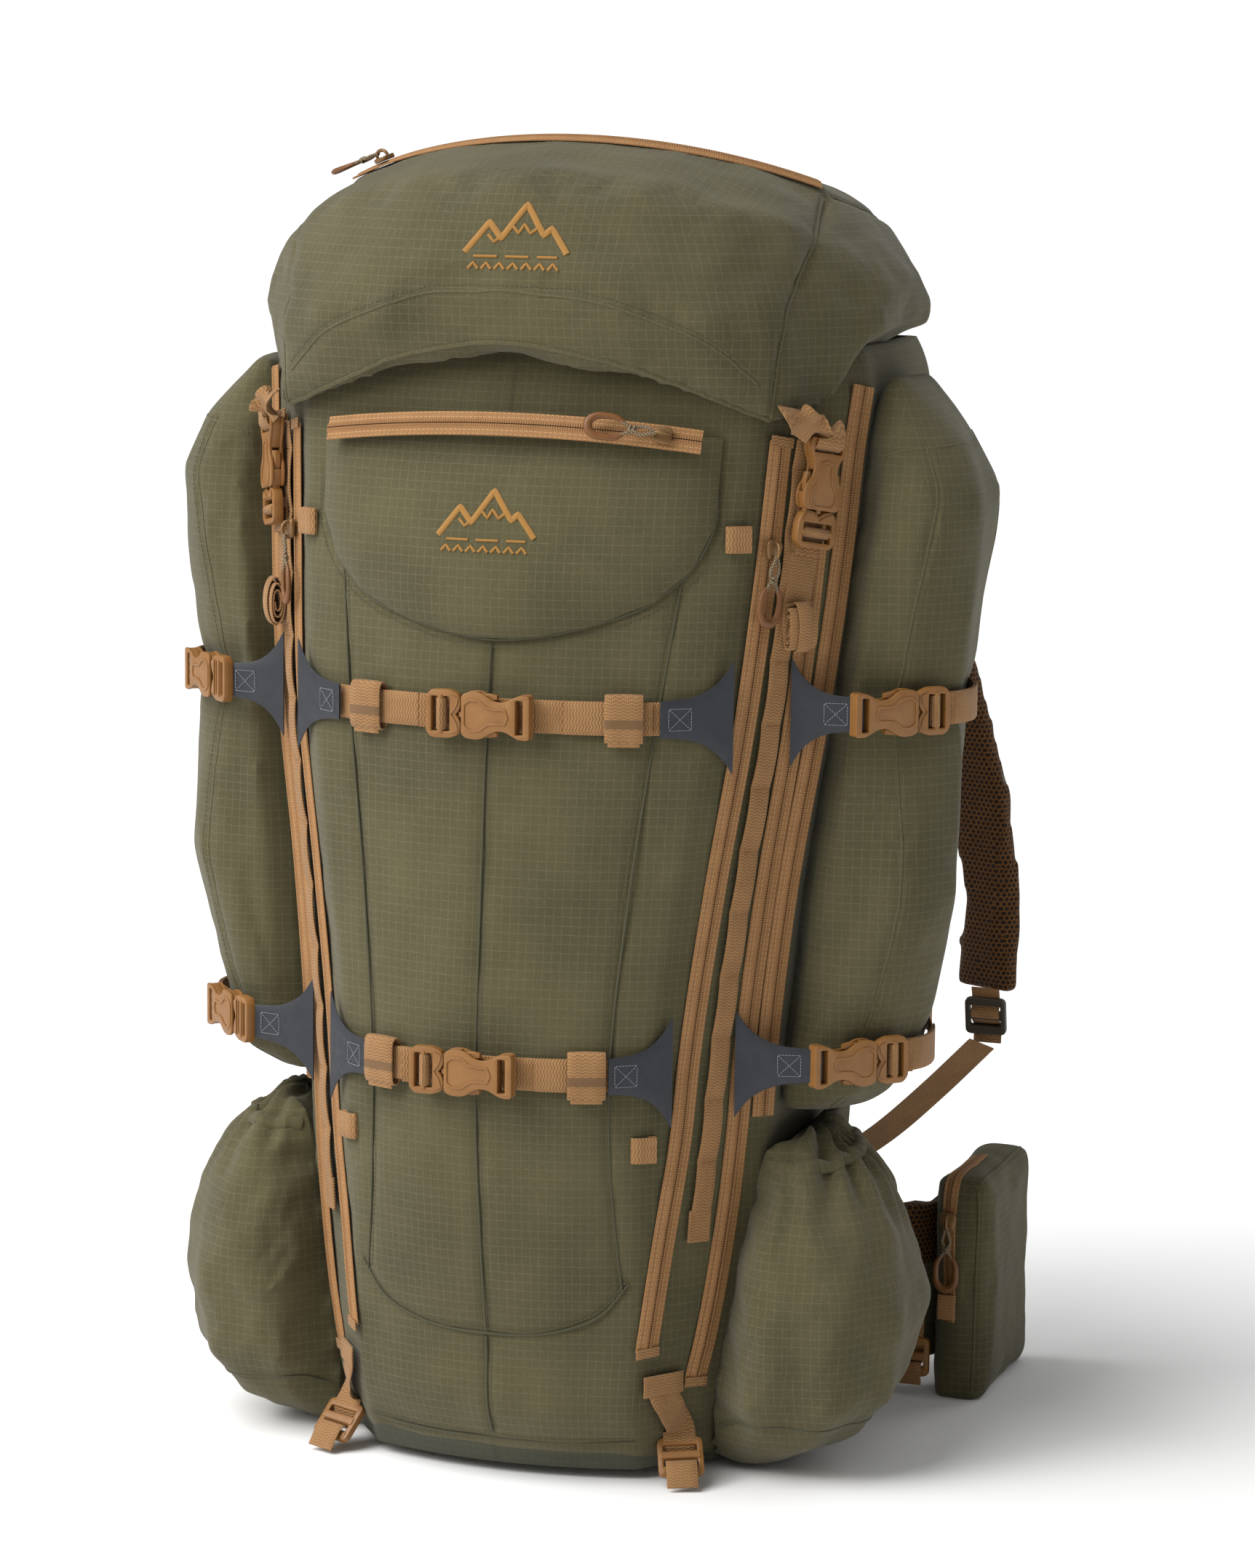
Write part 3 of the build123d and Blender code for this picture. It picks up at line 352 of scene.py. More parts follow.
class Piece:
    """One object made of several sewn, moulded or swept parts."""

    def __init__(self, name, body, slot, *materials):
        self.name, self.body, self.slot, self.materials = name, body, slot, materials
        self.points, self.faces, self.uvs, self.index, self.count = [], [], [], [], 0

    def add(self, points, faces, uvs, material=0):
        self.points.append(np.asarray(points, float))
        self.uvs.append(np.asarray(uvs, float))
        self.faces += [[self.count + i for i in face] for face in faces]
        self.index += [material] * len(faces)
        self.count += len(points)

    def sweep(self, path, normals, profile, material=0, scale=None, closed=False, caps=True):
        """Profile (across, out) carried along path; normals point out of the surface."""
        path = np.asarray(path, float)
        normals = np.broadcast_to(np.asarray(normals, float), path.shape)
        if closed:
            tangent = unit(np.roll(path, -1, 0) - np.roll(path, 1, 0))
        else:
            tangent = unit(np.gradient(path, axis=0))
        across = unit(np.cross(normals, tangent))
        out = np.cross(tangent, across)
        scale = np.ones((len(path), 2)) if scale is None else np.asarray(scale, float)
        if scale.ndim == 1:
            scale = np.c_[scale, scale]
        grid = (path[:, None] + across[:, None] * (profile[None, :, :1] * scale[:, None, :1])
                + out[:, None] * (profile[None, :, 1:] * scale[:, None, 1:]))
        step = np.linalg.norm(np.diff(path, axis=0), axis=1)
        along = np.r_[0, np.cumsum(step)]
        u = profile[:, 0][None, :] * scale[:, :1]
        if abs(profile[0] - profile[-1]).sum() < 1e-6 and len(profile) == 11:
            u = np.broadcast_to(np.linspace(0, 2 * math.pi * abs(profile[:, 0]).max(), len(profile)), u.shape)
        rows, cols = grid.shape[:2]
        uv = np.dstack([u, np.broadcast_to(along[:, None], u.shape)])
        faces = []
        for r in range(rows if closed else rows - 1):
            s = (r + 1) % rows
            faces += [(r * cols + c, r * cols + c + 1, s * cols + c + 1, s * cols + c)
                      for c in range(cols - 1)]
        if caps and not closed:
            faces += [tuple(reversed(range(cols - 1))), tuple((rows - 1) * cols + c for c in range(cols - 1))]
        self.add(grid.reshape(-1, 3), faces, uv.reshape(-1, 2), material)

    def solid(self, outlines, low, high, place, bevel=0.5, material=0):
        """Moulded slab: outlines (holes included) in the place's x and y, from low to high along its z."""
        curve = bpy.data.curves.new("outline", "CURVE")
        curve.dimensions, curve.fill_mode = "2D", "BOTH"
        curve.extrude, curve.offset = (high - low) / 2 - bevel, -bevel
        curve.bevel_depth, curve.bevel_resolution = bevel, 1
        for outline in outlines:
            spline = curve.splines.new("POLY")
            spline.points.add(len(outline) - 1)
            for point, (x, y) in zip(spline.points, outline):
                point.co = (x, y, 0, 1)
            spline.use_cyclic_u = True
        holder = bpy.data.objects.new("outline", curve)
        mesh = bpy.data.meshes.new_from_object(holder)
        points = np.array([v.co for v in mesh.vertices], float)
        faces = [list(p.vertices) for p in mesh.polygons]
        bpy.data.objects.remove(holder)
        bpy.data.curves.remove(curve)
        bpy.data.meshes.remove(mesh)
        points[:, 2] += (low + high) / 2
        turned = points @ np.array(place.to_3x3()).T + np.array(place.translation)
        self.add(turned, faces, points[:, :2] + points[:, 2:] * 0.7, material)

    def stitches(self, path, normals, material=0, pitch=3.4, length=2.4, half=0.28, high=0.3):
        """Row of raised thread dashes along a path."""
        path = np.asarray(path, float)
        normals = np.broadcast_to(np.asarray(normals, float), path.shape)
        step = np.r_[0, np.cumsum(np.linalg.norm(np.diff(path, axis=0), axis=1))]
        starts = np.arange(0.5, step[-1] - length, pitch)
        ends = starts + length
        mids = (starts + ends) / 2
        def at(where, values):
            return np.c_[[np.interp(where, step, values[:, k]) for k in range(3)]].T
        a, m, b = at(starts, path), at(mids, path), at(ends, path)
        n = unit(at(mids, normals))
        side = unit(np.cross(n, b - a)) * half
        for k in range(len(starts)):
            pts = [a[k] - side[k], a[k] + side[k], m[k] - side[k] + n[k] * high * 0.5, m[k] + n[k] * high,
                   m[k] + side[k] + n[k] * high * 0.5,
                   b[k] - side[k], b[k] + side[k]]
            faces = [(0, 1, 3), (0, 3, 2), (1, 4, 3), (5, 2, 3), (5, 3, 6), (6, 3, 4)]
            self.add(pts, faces, [(0, 0), (1, 0), (0, 1), (.5, 1), (1, 1), (0, 2), (1, 2)], material)

    def done(self, *replaced, angle=40):
        points = np.vstack(self.points) * MM
        mesh = bpy.data.meshes.new(self.name)
        mesh.from_pydata(points.tolist(), [], self.faces)
        for material in self.materials:
            mesh.materials.append(material)
        mesh.polygons.foreach_set("material_index", self.index)
        layer = mesh.uv_layers.new(name="fabric")
        corner = np.zeros(len(mesh.loops), int)
        mesh.loops.foreach_get("vertex_index", corner)
        layer.data.foreach_set("uv", np.vstack(self.uvs)[corner].astype(np.float32).ravel())
        b = bmesh.new()
        b.from_mesh(mesh)
        bmesh.ops.remove_doubles(b, verts=b.verts, dist=1e-6)
        bmesh.ops.recalc_face_normals(b, faces=b.faces)
        b.to_mesh(mesh)
        b.free()
        mesh.polygons.foreach_set("use_smooth", [True] * len(mesh.polygons))
        mesh.set_sharp_from_angle(angle=math.radians(angle))
        piece = bpy.data.objects.new(self.name, mesh)
        bpy.context.scene.collection.objects.link(piece)
        if self.body:
            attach(piece, self.body)
        if replaced:
            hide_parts(*replaced)
        return piece


def place_at(origin, x_dir, z_dir):
    """Matrix of a local frame, in millimetres."""
    x, z = Vector(x_dir).normalized(), Vector(z_dir)
    z = (z - x * z.dot(x)).normalized()
    y = z.cross(x)
    m = Matrix((x, y, z)).transposed().to_4x4()
    m.translation = Vector(origin)
    return m


def local(place, points):
    points = np.asarray(points, float)
    return points @ np.array(place.to_3x3()).T + np.array(place.translation)


def turn(place, vector):
    return np.array(place.to_3x3() @ Vector(vector))


# ---------------------------------------------------------------- bag surface
def section(z):
    return hermite(SECTIONS, z).T


def front_point(share, z, lift=0.0):
    share, z = np.broadcast_arrays(np.atleast_1d(np.asarray(share, float)),
                                   np.atleast_1d(np.asarray(z, float)))
    half, corner, centre, _, _ = section(z)
    return np.c_[share * half, centre + (corner - centre) * share**2 - lift, z]


def facet_normal(side, z):
    half, corner, _, side_x, side_y = section(z)
    return unit(np.c_[side * (side_y - corner), half - side_x, 0 * half])


def facet_point(side, share, z, lift=0.0):
    z = np.atleast_1d(np.asarray(z, float))
    half, corner, _, side_x, side_y = section(z)
    x, y = half + share * (side_x - half), corner + share * (side_y - corner)
    return np.c_[side * x, y, z] + facet_normal(side, z) * lift


def facet_line(side, line, lift, spacing=4.0):
    """Path and normals up the slanted panel along (height, share) points."""
    line = np.asarray(line, float)
    z = np.linspace(line[0, 0], line[-1, 0], max(3, int((line[-1, 0] - line[0, 0]) / spacing)))
    share = hermite(line, z)[:, 0]
    return facet_point(side, share, z, lift), facet_normal(side, z)


def creased(points, normals, lines, depth=1.4, width=4.0):
    """Points pulled in along sewn lines, each a list of points."""
    dense = np.vstack([smooth_path(line, 3.0) for line in lines])
    pulled = np.zeros(len(points))
    for start in range(0, len(points), 4000):
        part = points[start:start + 4000]
        away = np.sqrt(((part[:, None] - dense[None]) ** 2).sum(2)).min(1)
        pulled[start:start + 4000] = np.exp(-(away / width) ** 2)
    return points - normals * (pulled * depth)[:, None]


def ruffle(points, size, amount, stretch=(1, 1, 1)):
    """Soft wrinkles in mm for each point; stretch above 1 draws them out along that axis."""
    scaled = points / (np.asarray(stretch, float) * size)
    return np.array([noise.noise(Vector(p)) + 0.45 * noise.noise(Vector(p) * 2.1) for p in scaled]) * amount


def bag_shell():
    """Cloth of the bag with its liner, open at the top."""
    heights = np.r_[np.linspace(3.4, 30, 10), np.linspace(33, 690, 200)]
    half, corner, centre, side_x, side_y = section(heights)
    count = 360
    rings = []
    for h, c, m, sx, sy in zip(half, corner, centre, side_x, side_y):
        s = np.linspace(0, 1, 40)
        right = np.vstack([np.c_[s * h, m + (c - m) * s**2], [(sx, sy), (sx, BACK_Y), (0, BACK_Y)]])
        loop = np.vstack([right, [(-x, y) for x, y in right[-2:0:-1]], right[:1]])
        step = np.r_[0, np.cumsum(np.linalg.norm(np.diff(loop, axis=0), axis=1))]
        even = np.linspace(0, step[-1], count, endpoint=False)
        rings.append(np.c_[np.interp(even, step, loop[:, 0]), np.interp(even, step, loop[:, 1])])
    rings = np.array(rings)
    kernel = np.exp(-np.linspace(-2, 2, 7) ** 2)
    kernel /= kernel.sum()
    rings = sum(k * np.roll(rings, i - 3, axis=1) for i, k in enumerate(kernel))
    rows = len(heights)
    tuck = 1 - 0.06 * np.clip((heights - 655) / 35, 0, 1) ** 2
    rings = rings * tuck[:, None, None]
    points = np.dstack([rings, np.broadcast_to(heights[:, None], rings.shape[:2])])
    ahead = np.roll(points, -1, 1) - np.roll(points, 1, 1)
    normals = unit(np.cross(ahead, np.broadcast_to([0, 0, 1.0], ahead.shape)))
    flat, n = points.reshape(-1, 3), normals.reshape(-1, 3)
    front = np.clip(-n[:, 1], 0, 1)
    flat = creased(flat, n, SHELL_SEAMS)
    wrinkle = ruffle(flat, 60, 2.4, (1, 1, 1.6)) + ruffle(flat, 22, 0.8, (1.6, 1, 1))
    flat = flat + n * (np.minimum(wrinkle, 0.6) * (0.35 + 0.65 * front))[:, None]
    around = np.r_[0, np.cumsum(np.linalg.norm(np.diff(rings[140], axis=0), axis=1))]
    uv = np.dstack(np.broadcast_arrays(around[None], np.r_[0, np.cumsum(np.diff(heights))][:, None]))
    piece = Piece("bag_shell", "pack", "pack_cloth", CLOTH, LINER)
    quads = [(r * count + c, r * count + (c + 1) % count, (r + 1) * count + (c + 1) % count,
              (r + 1) * count + c)
             for r in range(rows - 1) for c in range(count)]
    quads.append(tuple(reversed(range(count))))
    piece.add(flat, quads, uv.reshape(-1, 2))
    inside = points[::-12] - normals[::-12] * np.array([4.0, 4.0, 0])
    inside[-1, :, 2] = 7
    inside[0] = inside[0] + (0, 0, 0.4)
    levels = len(inside)
    deep = inside.reshape(-1, 3)
    lining = [(r * count + c, r * count + (c + 1) % count, (r + 1) * count + (c + 1) % count,
               (r + 1) * count + c)
              for r in range(levels - 1) for c in range(count)]
    lining.append(tuple((levels - 1) * count + c for c in range(count)))
    inner_uv = np.dstack(np.broadcast_arrays(around[None], (inside[:, :1, 2])))
    piece.add(deep, lining, inner_uv.reshape(-1, 2), 1)
    rim = [(c, (c + 1) % count, count + (c + 1) % count, count + c) for c in range(count)]
    piece.add(np.vstack([flat.reshape(rows, count, 3)[-1], inside[0]]), rim,
              np.vstack([uv[-1], uv[-1] + (0, 4)]))
    return piece.done("main_bag", "front_panel", "base_panel", angle=80)


def front_curve(pairs, lift=0.0, spacing=4.0):
    """Line on the front panel through (x, height) pairs."""
    path = smooth_path([(x, z) for x, z in pairs], spacing)
    half = section(path[:, 1])[0]
    return front_point(path[:, 0] / half, path[:, 1], lift)


DISH = [(-124, 612), (-124, 588), (-112, 562), (-92, 543), (-58, 529), (-22, 521), (0, 519), (22, 521),
        (58, 529), (92, 543),
        (112, 562), (124, 588), (124, 612)]
LOW_DISH = [(-86, 130), (-70, 110), (-45, 99), (-15, 95), (0, 95), (15, 95), (45, 99), (70, 110), (86, 130)]
MIDDLE = [(-2, 516), (-3, 400), (-3, 261), (-1, 150), (0, 97)]
LOWER_MIDDLE = [(0, 93), (0, 60), (0, 30)]
SIDE_SEAMS = [[(side * 108, 560), (side * 98, 475), (side * 84, 360), (side * 76, 261), (side * 77, 190),
               (side * 82, 125)]
              for side in (-1, 1)]
BOTTOM = [(-86, 27), (-50, 25), (0, 25), (50, 25), (86, 27)]
SHELL_SEAMS = [front_curve(line) for line in (DISH, LOW_DISH, MIDDLE, LOWER_MIDDLE, BOTTOM, *SIDE_SEAMS)]
shell = bag_shell()


def seam_work():
    """Folded seam edges and rows of thread on the front panel."""
    seams = Piece("front_seams", "pack", "pack_cloth", CLOTH, THREAD_OLIVE)
    for line, beside in ((LOW_DISH, (0, 3)), (MIDDLE, (3, 0)), (LOWER_MIDDLE, (3, 0)), (BOTTOM, (0, 3)),
                         *[(line, (-3 if line[0][0] > 0 else 3, 0)) for line in SIDE_SEAMS]):
        path = front_curve(line, -0.9)
        seams.sweep(path, (0, -1, 0), ring(0.8, 8), 1)
        shifted = front_curve([(x + beside[0], z + beside[1]) for x, z in line], 0.15, 2.0)
        seams.stitches(shifted, (0, -1, 0), 1, pitch=3.0, length=2.1)
    return seams.done()


seam_work()


def grid_rim(rows, cols):
    """Indices round the edge of a grid of points that is numbered row by row."""
    return (list(range(cols)) + [r * cols + cols - 1 for r in range(1, rows)]
            + [(rows - 1) * cols + c for c in range(cols - 2, -1, -1)]
            + [r * cols for r in range(rows - 2, 0, -1)])


def pocket_panel():
    """Stuffed front pocket: crowned panel inside the round-bottomed seam."""
    heights = np.linspace(520, 640, 60)
    rim = np.array([(z, x) for x, z in DISH if x >= 0])
    rim = rim[np.argsort(rim[:, 0])]
    reach = np.interp(heights, [519, 521, 529, 543, 562, 588, 640], [2, 24, 60, 93, 113, 124.5, 126])
    shares = np.sin(np.linspace(-1, 1, 91) * math.pi / 2)
    x = reach[:, None] * shares[None]
    z = np.broadcast_to(heights[:, None], x.shape)
    half = section(heights)[0][:, None]
    edge = np.minimum((1 - np.abs(shares))[None] * reach[:, None], 70)
    low = (z - np.interp(np.abs(x), [0, 24, 60, 93, 113, 124.5, 126],
                         [519, 521, 529, 543, 562, 588, 600])) * 0.9
    crown = 10.5 * (1 - np.exp(-np.minimum(edge, low.clip(0)) / 13)) + 2.0
    crown *= 1 - 0.35 * np.clip((z - 618) / 22, 0, 1)
    base = front_point((x / half).ravel(), z.ravel())
    normals = np.broadcast_to([0, -1.0, 0], base.shape)
    lift = crown.ravel() + ruffle(base, 34, 1.1, (1.4, 1, 1)) * (crown.ravel() / 12)
    points = base + normals * lift[:, None]
    rows, cols = x.shape
    piece = Piece("front_pocket_panel", "pack", "pack_cloth", CLOTH, THREAD_OLIVE)
    faces = [(r * cols + c, r * cols + c + 1, (r + 1) * cols + c + 1, (r + 1) * cols + c)
             for r in range(rows - 1) for c in range(cols - 1)]
    back = base + (0, -0.6, 0)
    n = len(points)
    outline = grid_rim(rows, cols)
    faces += [(b, a, n + a, n + b) for a, b in zip(outline, outline[1:] + outline[:1])]
    faces += [tuple(n + i for i in reversed(f)) for f in faces[:(rows - 1) * (cols - 1)]]
    piece.add(np.vstack([points, back]), faces, np.vstack([base[:, [0, 2]]] * 2))
    seam = front_curve(DISH, 0.4, 3.0)
    piece.sweep(seam, (0, -1, 0), ring(1.1, 8), 1)
    piece.stitches(front_curve([(px * 1.035, pz - 4.5) for px, pz in DISH], 0.3, 2.0), (0, -1, 0), 1,
                   pitch=3.0, length=2.1)
    made = piece.done("front_pocket", angle=75)
    return made


pocket = pocket_panel()


# ---------------------------------------------------------------- padded pieces by cloth simulation
def start_soft(name, node, body, voxel, smoothing):
    """Copy of a CAD node as an even fine mesh, with its hard edges eased, ready to be blown up."""
    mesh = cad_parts[node].data.copy()
    mesh.materials.clear()
    for layer in list(mesh.uv_layers):
        mesh.uv_layers.remove(layer)
    b = bmesh.new()
    b.from_mesh(mesh)
    bmesh.ops.remove_doubles(b, verts=b.verts, dist=1e-5)
    b.to_mesh(mesh)
    b.free()
    piece = bpy.data.objects.new(name, mesh)
    bpy.context.scene.collection.objects.link(piece)
    remesh = piece.modifiers.new("even", "REMESH")
    remesh.mode, remesh.voxel_size = "VOXEL", voxel * MM
    ease = piece.modifiers.new("ease", "SMOOTH")
    ease.factor, ease.iterations = 0.5, smoothing
    bpy.context.view_layer.update()
    even = bpy.data.meshes.new_from_object(piece.evaluated_get(bpy.context.evaluated_depsgraph_get()))
    piece.modifiers.clear()
    piece.data = even
    even.name = name
    cloth = piece.modifiers.new("swell", "CLOTH")
    cloth.settings.use_pressure = True
    cloth.settings.uniform_pressure_force = 4.0
    cloth.settings.quality = 4
    cloth.settings.effector_weights.gravity = 0
    cloth.collision_settings.use_self_collision = False
    return piece, np.array([v.co for v in even.vertices], float), body, node


def read(mesh):
    points = np.zeros(len(mesh.vertices) * 3)
    mesh.vertices.foreach_get("co", points)
    normals = np.zeros(len(mesh.vertices) * 3)
    mesh.vertices.foreach_get("normal", normals)
    return points.reshape(-1, 3) / MM, normals.reshape(-1, 3)


def panel_uv(mesh, offsets=8):
    """UVs in mm: every face is laid flat on the nearest of eight upright panels, or on the ground plane."""
    centre_normals = np.zeros(len(mesh.polygons) * 3)
    mesh.polygons.foreach_get("normal", centre_normals)
    normals = centre_normals.reshape(-1, 3)
    angle = np.round(np.arctan2(normals[:, 1], normals[:, 0])
                     / (2 * math.pi / offsets)) * 2 * math.pi / offsets
    level = np.abs(normals[:, 2]) > 0.8
    totals = np.zeros(len(mesh.polygons), int)
    mesh.polygons.foreach_get("loop_total", totals)
    face_of = np.repeat(np.arange(len(totals)), totals)
    corner = np.zeros(len(mesh.loops), int)
    mesh.loops.foreach_get("vertex_index", corner)
    points = read(mesh)[0][corner]
    a, flat = angle[face_of], level[face_of]
    u = np.where(flat, points[:, 0], -points[:, 0] * np.sin(a) + points[:, 1] * np.cos(a))
    v = np.where(flat, points[:, 1], points[:, 2])
    layer = mesh.uv_layers.get("fabric") or mesh.uv_layers.new(name="fabric")
    layer.data.foreach_set("uv", np.c_[u, v].astype(np.float32).ravel())


def finish_soft(made, swelled, cap, shape=None, materials=(CLOTH,), choose=None, fill=0.7, slot="pack_cloth"):
    """Swelled copy, its swelling capped, subdivided once, then folded by shape(points, normals)."""
    piece, rest, body, node = made
    piece.modifiers.clear()
    moved = swelled - rest
    size = np.linalg.norm(moved, axis=1, keepdims=True)
    moved *= np.minimum(1, cap * MM / np.maximum(size, 1e-9))
    piece.data.vertices.foreach_set("co", (rest + moved).astype(np.float32).ravel())
    finer = piece.modifiers.new("finer", "SUBSURF")
    finer.levels = finer.render_levels = 1
    bpy.context.view_layer.update()
    mesh = bpy.data.meshes.new_from_object(piece.evaluated_get(bpy.context.evaluated_depsgraph_get()))
    piece.modifiers.clear()
    piece.data = mesh
    mesh.name = piece.name
    points, normals = read(mesh)
    if shape:
        points = shape(points, normals)
    points[:, 2] = np.maximum(points[:, 2], 0.6)
    mesh.vertices.foreach_set("co", (points * MM).astype(np.float32).ravel())
    mesh.update()
    for material in materials:
        mesh.materials.append(material)
    panel_uv(mesh)
    if choose:
        centre = np.zeros(len(mesh.polygons) * 3)
        mesh.polygons.foreach_get("center", centre)
        facing = np.zeros(len(mesh.polygons) * 3)
        mesh.polygons.foreach_get("normal", facing)
        picked = choose(centre.reshape(-1, 3) / MM, facing.reshape(-1, 3))
        mesh.polygons.foreach_set("material_index", picked.astype(int))
    mesh.polygons.foreach_set("use_smooth", [True] * len(mesh.polygons))
    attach(piece, body)
    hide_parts(node)
    return piece


def strap_pinch(z, depth):
    """How far the two compression rows pull a side pod in."""
    return sum(np.exp(-((z - row) / 17.0) ** 2) for row in (UPPER_ROW, LOWER_ROW)) * depth


def pod_shape(points, normals):
    """Folds beside the compression straps and sewn edges of a side pod."""
    z = points[:, 2]
    pinch = strap_pinch(z, 3.4)
    near = sum(np.exp(-np.abs(z - row - 4) / 34.0) for row in (UPPER_ROW, LOWER_ROW))
    folds = ruffle(points, 17, 1.5, (1, 1, 3.2)) * np.clip(near, 0, 1) + ruffle(points, 46, 2.0, (1, 1, 1.5))
    outer = np.clip(np.abs(points[:, 0]) - 196, 0, 12) / 12
    points = points + normals * ((folds - pinch) * outer)[:, None]
    lines = [[(s * row[1], row[2], row[0]) for row in POD[1:]] for s in (-1, 1)]
    return creased(points, normals, lines, 1.8, 4.0)


def pocket_folds(points, normals):
    """Pleats that run down from the gathered top of a lower side pocket."""
    z = points[:, 2]
    angle = np.arctan2(points[:, 1] + 90, np.abs(points[:, 0]) - 165)
    gather = np.clip((z - 118) / 85, 0, 1) ** 1.3
    wobble = ruffle(points, 40, 0.9)
    pleats = np.sin(angle * 15 + wobble * 2.0 + z * 0.012) * 3.4 * gather
    soft = ruffle(points, 52, 3.6) + ruffle(points, 24, 1.1)
    top = np.exp(-((z - 203) / 5.0) ** 2) * -1.8
    away = np.clip(np.abs(points[:, 0]) - 158, 0, 14) / 14
    return points + normals * ((pleats + soft * (1 - 0.4 * gather) + top) * away)[:, None]


# middle of the zip, direction to the arc's centre, radius
LID_ARC = ((0, -96.6, 812.6), (0, 0.857, -0.515), 243)
POCKET_ARC = ((0, -202, 646), (0, 0.92, -0.394), 354)
LID_ZIP_TILT = math.radians(47)


def mirrored(side, points):
    """Points of the right side, or their mirror image on the left."""
    return [(side * x, y, z) for x, y, z in points]


def arc_points(mid, inward, radius, half_angle, tilt, steps=80):
    mid, inward = np.array(mid, float), unit(np.array(inward, float))
    angles = np.radians(np.linspace(-half_angle, half_angle, steps))[:, None]
    radial = -inward * np.cos(angles) + np.array([1.0, 0, 0]) * np.sin(angles)
    axis = np.cross([1.0, 0, 0], inward)
    return mid + inward * radius + radial * radius, radial * math.cos(tilt) + axis * math.sin(tilt)


LID_ARCH = [(-152, -176, 672), (-124, -192, 694), (-75, -208, 716), (0, -214, 726), (75, -208, 716),
            (124, -192, 694), (152, -176, 672)]
LID_FRONT_SEAM = [(163, -120, 745), (162, -160, 700), (156, -166, 646)]
LID_SIDE_SEAM = [(160, -50, 782), (172, 10, 764), (172, 40, 722)]


def lid_shape(points, normals):
    """Seams, wrinkles, a puffed front, a flush zip and hanging side corners."""
    lines = []
    for side in (-1, 1):
        lines.append(mirrored(side, [(158, -58, 782), *LID_FRONT_SEAM]))
        lines.append(mirrored(side, LID_SIDE_SEAM))
    lines.append(LID_ARCH)
    points = creased(points, normals, lines, 2.2, 4.5)
    soft = ruffle(points, 70, 3.4, (1.5, 1, 1)) + ruffle(points, 27, 1.2, (1.7, 1, 0.8))
    puff = 3.0 * np.exp(-((points[:, 2] - 700) / 22) ** 2) * np.clip(-points[:, 1] / 160, 0, 1)
    free = np.clip((points[:, 2] - 655) / 40, 0.15, 1)
    points = points + normals * ((soft + puff * 0.5) * free - 0.6)[:, None]
    arc, out = arc_points(*LID_ARC, 38, LID_ZIP_TILT)
    reach = ((points[:, None] - arc[None]) ** 2).sum(2)
    lift = (arc - out * 0.5) - points[reach.argmin(0)]
    near = reach.argmin(1)
    points = points + lift[near] * np.exp(-reach[np.arange(len(points)), near] / 24.0**2)[:, None]
    wide = np.abs(points[:, 0])
    hang = np.clip((wide - 160) / 18, 0, 1) * np.clip((203 - wide) / 14, 0, 1)
    hang *= np.clip((-points[:, 1] - 92) / 22, 0, 1) * np.clip((712 - points[:, 2]) / 30, 0, 1)
    points[:, 2] -= 36 * hang
    return points


def soft_shape(size, amount):
    return lambda points, normals: points + normals * ruffle(points, size, amount)[:, None]


def inner_face(points, normals):
    """Mesh on the face of a shoulder strap that lies on the wearer."""
    line = smooth_path([(abs(x), y, z) for x, y, z in SHOULDER], 12.0)
    ahead = unit(np.gradient(line, axis=0))
    away = ((np.c_[np.abs(points[:, 0]), points[:, 1:]][:, None] - line[None]) ** 2).sum(2).argmin(1)
    sidewise = np.c_[np.cos(np.full(len(points), 0.25)), -np.full(len(points), math.sin(0.25)),
                     np.zeros(len(points))]
    outward = np.cross(sidewise, ahead[away])
    facing = np.c_[np.sign(points[:, 0]) * normals[:, 0], normals[:, 1:]]
    dot = (facing * outward).sum(1) * np.where(outward[:, 1] > 0, 1, -1)
    top = ahead[away][:, 2] > -0.35
    under = np.where(top, -facing[:, 2], -dot)
    return (under > -0.25).astype(int)


def pair(name, node, body, voxel, smoothing, **finish):
    """Left and right rows of SOFT, with the side's word in the names."""
    return [((name.format(word), node.format(word), body.format(word), voxel, smoothing), finish)
            for word in ("left", "right")]


def wing_face(points, normals):
    """Mesh on the wearer's side and the top of a hip wing."""
    return (np.sign(points[:, 0]) * normals[:, 0] < 0.1) | (points[:, 2] > 84)


# name, CAD node, body, voxel in mm and smoothing rounds, then how finish_soft makes it
SOFT = [
    *pair("side_pod_{}_cloth", "side_pod_{}", "pack", 5.0, 5, cap=7, shape=pod_shape, fill=0.8),
    *pair("lower_pocket_{}_cloth", "lower_pocket_{}", "pack", 4.5, 5, cap=9, shape=pocket_folds, fill=0.75),
    (("lid_cloth", "lid_shell", "lid", 4.5, 6), dict(cap=7, shape=lid_shape, fill=0.75)),
    *pair("hip_pocket_{}_cloth", "hip_pocket_{}", "hip_{}", 4.5, 3, cap=2, shape=soft_shape(26, 1.0),
          fill=0.7),
    *pair("hip_wing_{}_pad", "hip_wing_{}", "hip_{}", 4.0, 2, cap=3, shape=soft_shape(26, 0.7),
          materials=(CLOTH, MESH), fill=0.5, choose=wing_face),
    *pair("shoulder_strap_{}_pad", "shoulder_strap_{}", "harness", 4.0, 2, cap=4, shape=soft_shape(30, 0.9),
          materials=(CLOTH, MESH), choose=inner_face, fill=0.5),
    (("back_pads_mesh", "back_pads", "pack", 4.0, 3),
     dict(cap=3, shape=soft_shape(40, 0.8), materials=(MESH,), fill=0.5, slot="mesh_padding")),
]
started = [start_soft(*how) for how, _ in SOFT]
scene = bpy.context.scene
scene.frame_start, scene.frame_end = 1, SOFT_FRAMES
for step in range(1, SOFT_FRAMES + 1):
    scene.frame_set(step)
graph = bpy.context.evaluated_depsgraph_get()
swelled = []
for made in started:
    mesh = made[0].evaluated_get(graph).to_mesh()
    swelled.append(np.array([v.co for v in mesh.vertices], float))
soft = {}
